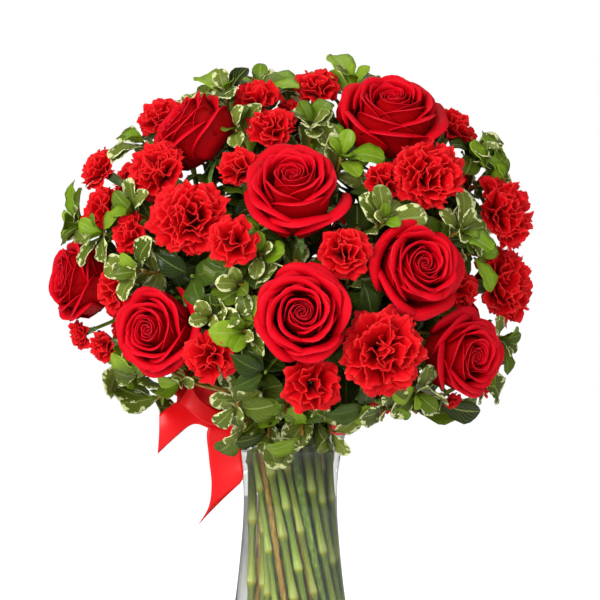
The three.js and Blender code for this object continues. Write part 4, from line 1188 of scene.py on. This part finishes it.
# The loop's line runs out along its front half and back along the other; the ribbon leans back off that
# line by the roll, so the front half shows as a narrow lit band and the inside of the back half stands
# above it.
line = curve_through(np.column_stack([LOOP_LINE, LOOP_ROLL, LOOP_GATHER]), 44)
roll, gathered = line[:, 3:4], line[:, 4:5] * np.linspace(0.5, -0.5, 9) * LOOP_WIDTH
loop = stacked(line[:, :1], line[:, 1:2] - gathered * np.sin(roll), line[:, 2:3] + gathered * np.cos(roll))
level = np.array([np.cos(LOOP_TURN), np.sin(LOOP_TURN), 0])
loop_out = np.cos(LOOP_TIP) * level + np.sin(LOOP_TIP) * UP
loop_side = np.cross(UP, level)
loop = knot_at + loop @ np.stack([loop_out, loop_side, np.cross(loop_out, loop_side)])
ribbon_piece("ribbon_loop", loop)

short_tail = knot_at + between(SHORT_TAIL, rows=40, columns=13, cup=2.5 * MM, ripple=1.2 * MM)
long_tail = knot_at + between(LONG_TAIL, rows=56, columns=13, cup=-2.5 * MM, ripple=1.4 * MM)
ribbon_piece("ribbon_short_tail", short_tail)
ribbon_piece("ribbon_long_tail", long_tail)


# ---- The studio ----
# A large round table top of matt white board, which fades to an evenly lit sweep and a white backdrop; in
# reflections both are dim, so that glass and gloss mirror the lamps rather than the white. Five square soft
# lamps: the key, the fill and the top lamp give the gloss, the low and the rear one only fill the shade.

FLOOR_RADIUS, FLOOR_THICKNESS, FLOOR_SIDES = 3.0, 10 * MM, 64
SWEEP_FROM, SWEEP_TO, SWEEP_GLOW = 0.28, 0.55, 1.25
BACKDROP, ROOM_LIGHT, MIRROR_LOSS = 1.0, 0.37, 0.75
LIT_PLACE = Vector((0, 0, 0.3))
CAMERA_PLACE = (7.76 * MM, -2400 * MM, 304 * MM)
CAMERA_LENS, CAMERA_SENSOR, CAMERA_REACH = 180, 36, 20


def mirrored_less(add, strength):
    """A strength of light that loses the share MIRROR_LOSS where it is seen as a reflection, the way a room
    that is darker than the table round the vase leaves the glass clear.
    """
    path = add("LightPath").outputs
    return add("Math", {0: path["Is Glossy Ray"], 1: -strength * MIRROR_LOSS, 2: strength}, "MULTIPLY_ADD")


# The board is matt white round the vase, so that the vase stands in a faint shadow of its own; farther
# out the white burns out into the backdrop without an edge.
board, add = new_material("matt_white_board")
place = add("TexCoord").outputs["Object"]
far = add("VectorMath", {0: place}, "LENGTH").outputs["Value"]
fade = add("MapRange", {"Value": far, "From Min": SWEEP_FROM, "From Max": SWEEP_TO})
matt = add("BsdfDiffuse", {"Color": (0.9, 0.9, 0.9, 1)})
glow = add("Emission", {"Color": (1, 1, 1, 1), "Strength": mirrored_less(add, SWEEP_GLOW)})
mix = add("MixShader", {0: fade, 1: matt, 2: glow})
add("OutputMaterial", {"Surface": mix})
floor_profile = [(1 * MM, -FLOOR_THICKNESS), (FLOOR_RADIUS, -FLOOR_THICKNESS), (FLOOR_RADIUS, 0), (1 * MM, 0)]
floor = object_of("floor", *turned(floor_profile, FLOOR_SIDES), board)

# The backdrop is full white to the camera and through the glass; as light on the flowers it is much dimmer.
studio, add = new_material("studio", bpy.data.worlds)
path = add("LightPath").outputs
looked_at = add("Math", {0: path["Is Camera Ray"], 1: path["Is Transmission Ray"]}, "MAXIMUM")
dim = add("Background", {"Color": (1, 1, 1, 1), "Strength": mirrored_less(add, ROOM_LIGHT)})
bright = add("Background", {"Color": (1, 1, 1, 1), "Strength": BACKDROP})
mix = add("MixShader", {0: looked_at, 1: dim, 2: bright})
add("OutputWorld", {"Surface": mix})
bpy.context.scene.world = studio


def softbox(name, place, size, power, shines=True):
    """A square lamp of a size in metres and a power in watts, aimed at the middle of the bouquet.

    One that does not shine lights the matt surfaces, but is not mirrored in the glass and the leaves.
    """
    lamp = bpy.data.lights.new(name, "AREA")
    lamp.shape = "SQUARE"
    lamp.size = size
    lamp.energy = power
    box = bpy.data.objects.new(name, lamp)
    box.location = place
    box.rotation_mode = "QUATERNION"
    box.rotation_quaternion = (LIT_PLACE - Vector(place)).to_track_quat("-Z", "Y")
    box.visible_glossy = box.visible_transmission = shines
    bpy.context.scene.collection.objects.link(box)


softbox("key_light", (-1.2, -1.85, 1.35), size=0.9, power=47)
softbox("fill_light", (1.5, -1.7, 1.3), size=1.0, power=14)
softbox("low_card", (-0.7, -2.15, 0.35), size=1.2, power=30, shines=False)
softbox("top_light", (0.2, 0.5, 2.0), size=1.2, power=8)
softbox("back_light", (-0.5, 2.2, 1.4), size=1.2, power=24, shines=False)

camera = bpy.data.cameras.new("camera")
camera.sensor_width = CAMERA_SENSOR
camera.lens = CAMERA_LENS
camera.clip_end = CAMERA_REACH
eye = bpy.data.objects.new("camera", camera)
eye.location = CAMERA_PLACE
eye.rotation_euler = (np.pi / 2, 0, 0)
bpy.context.scene.collection.objects.link(eye)
bpy.context.scene.camera = eye
bpy.context.scene.view_settings.view_transform = "Standard"
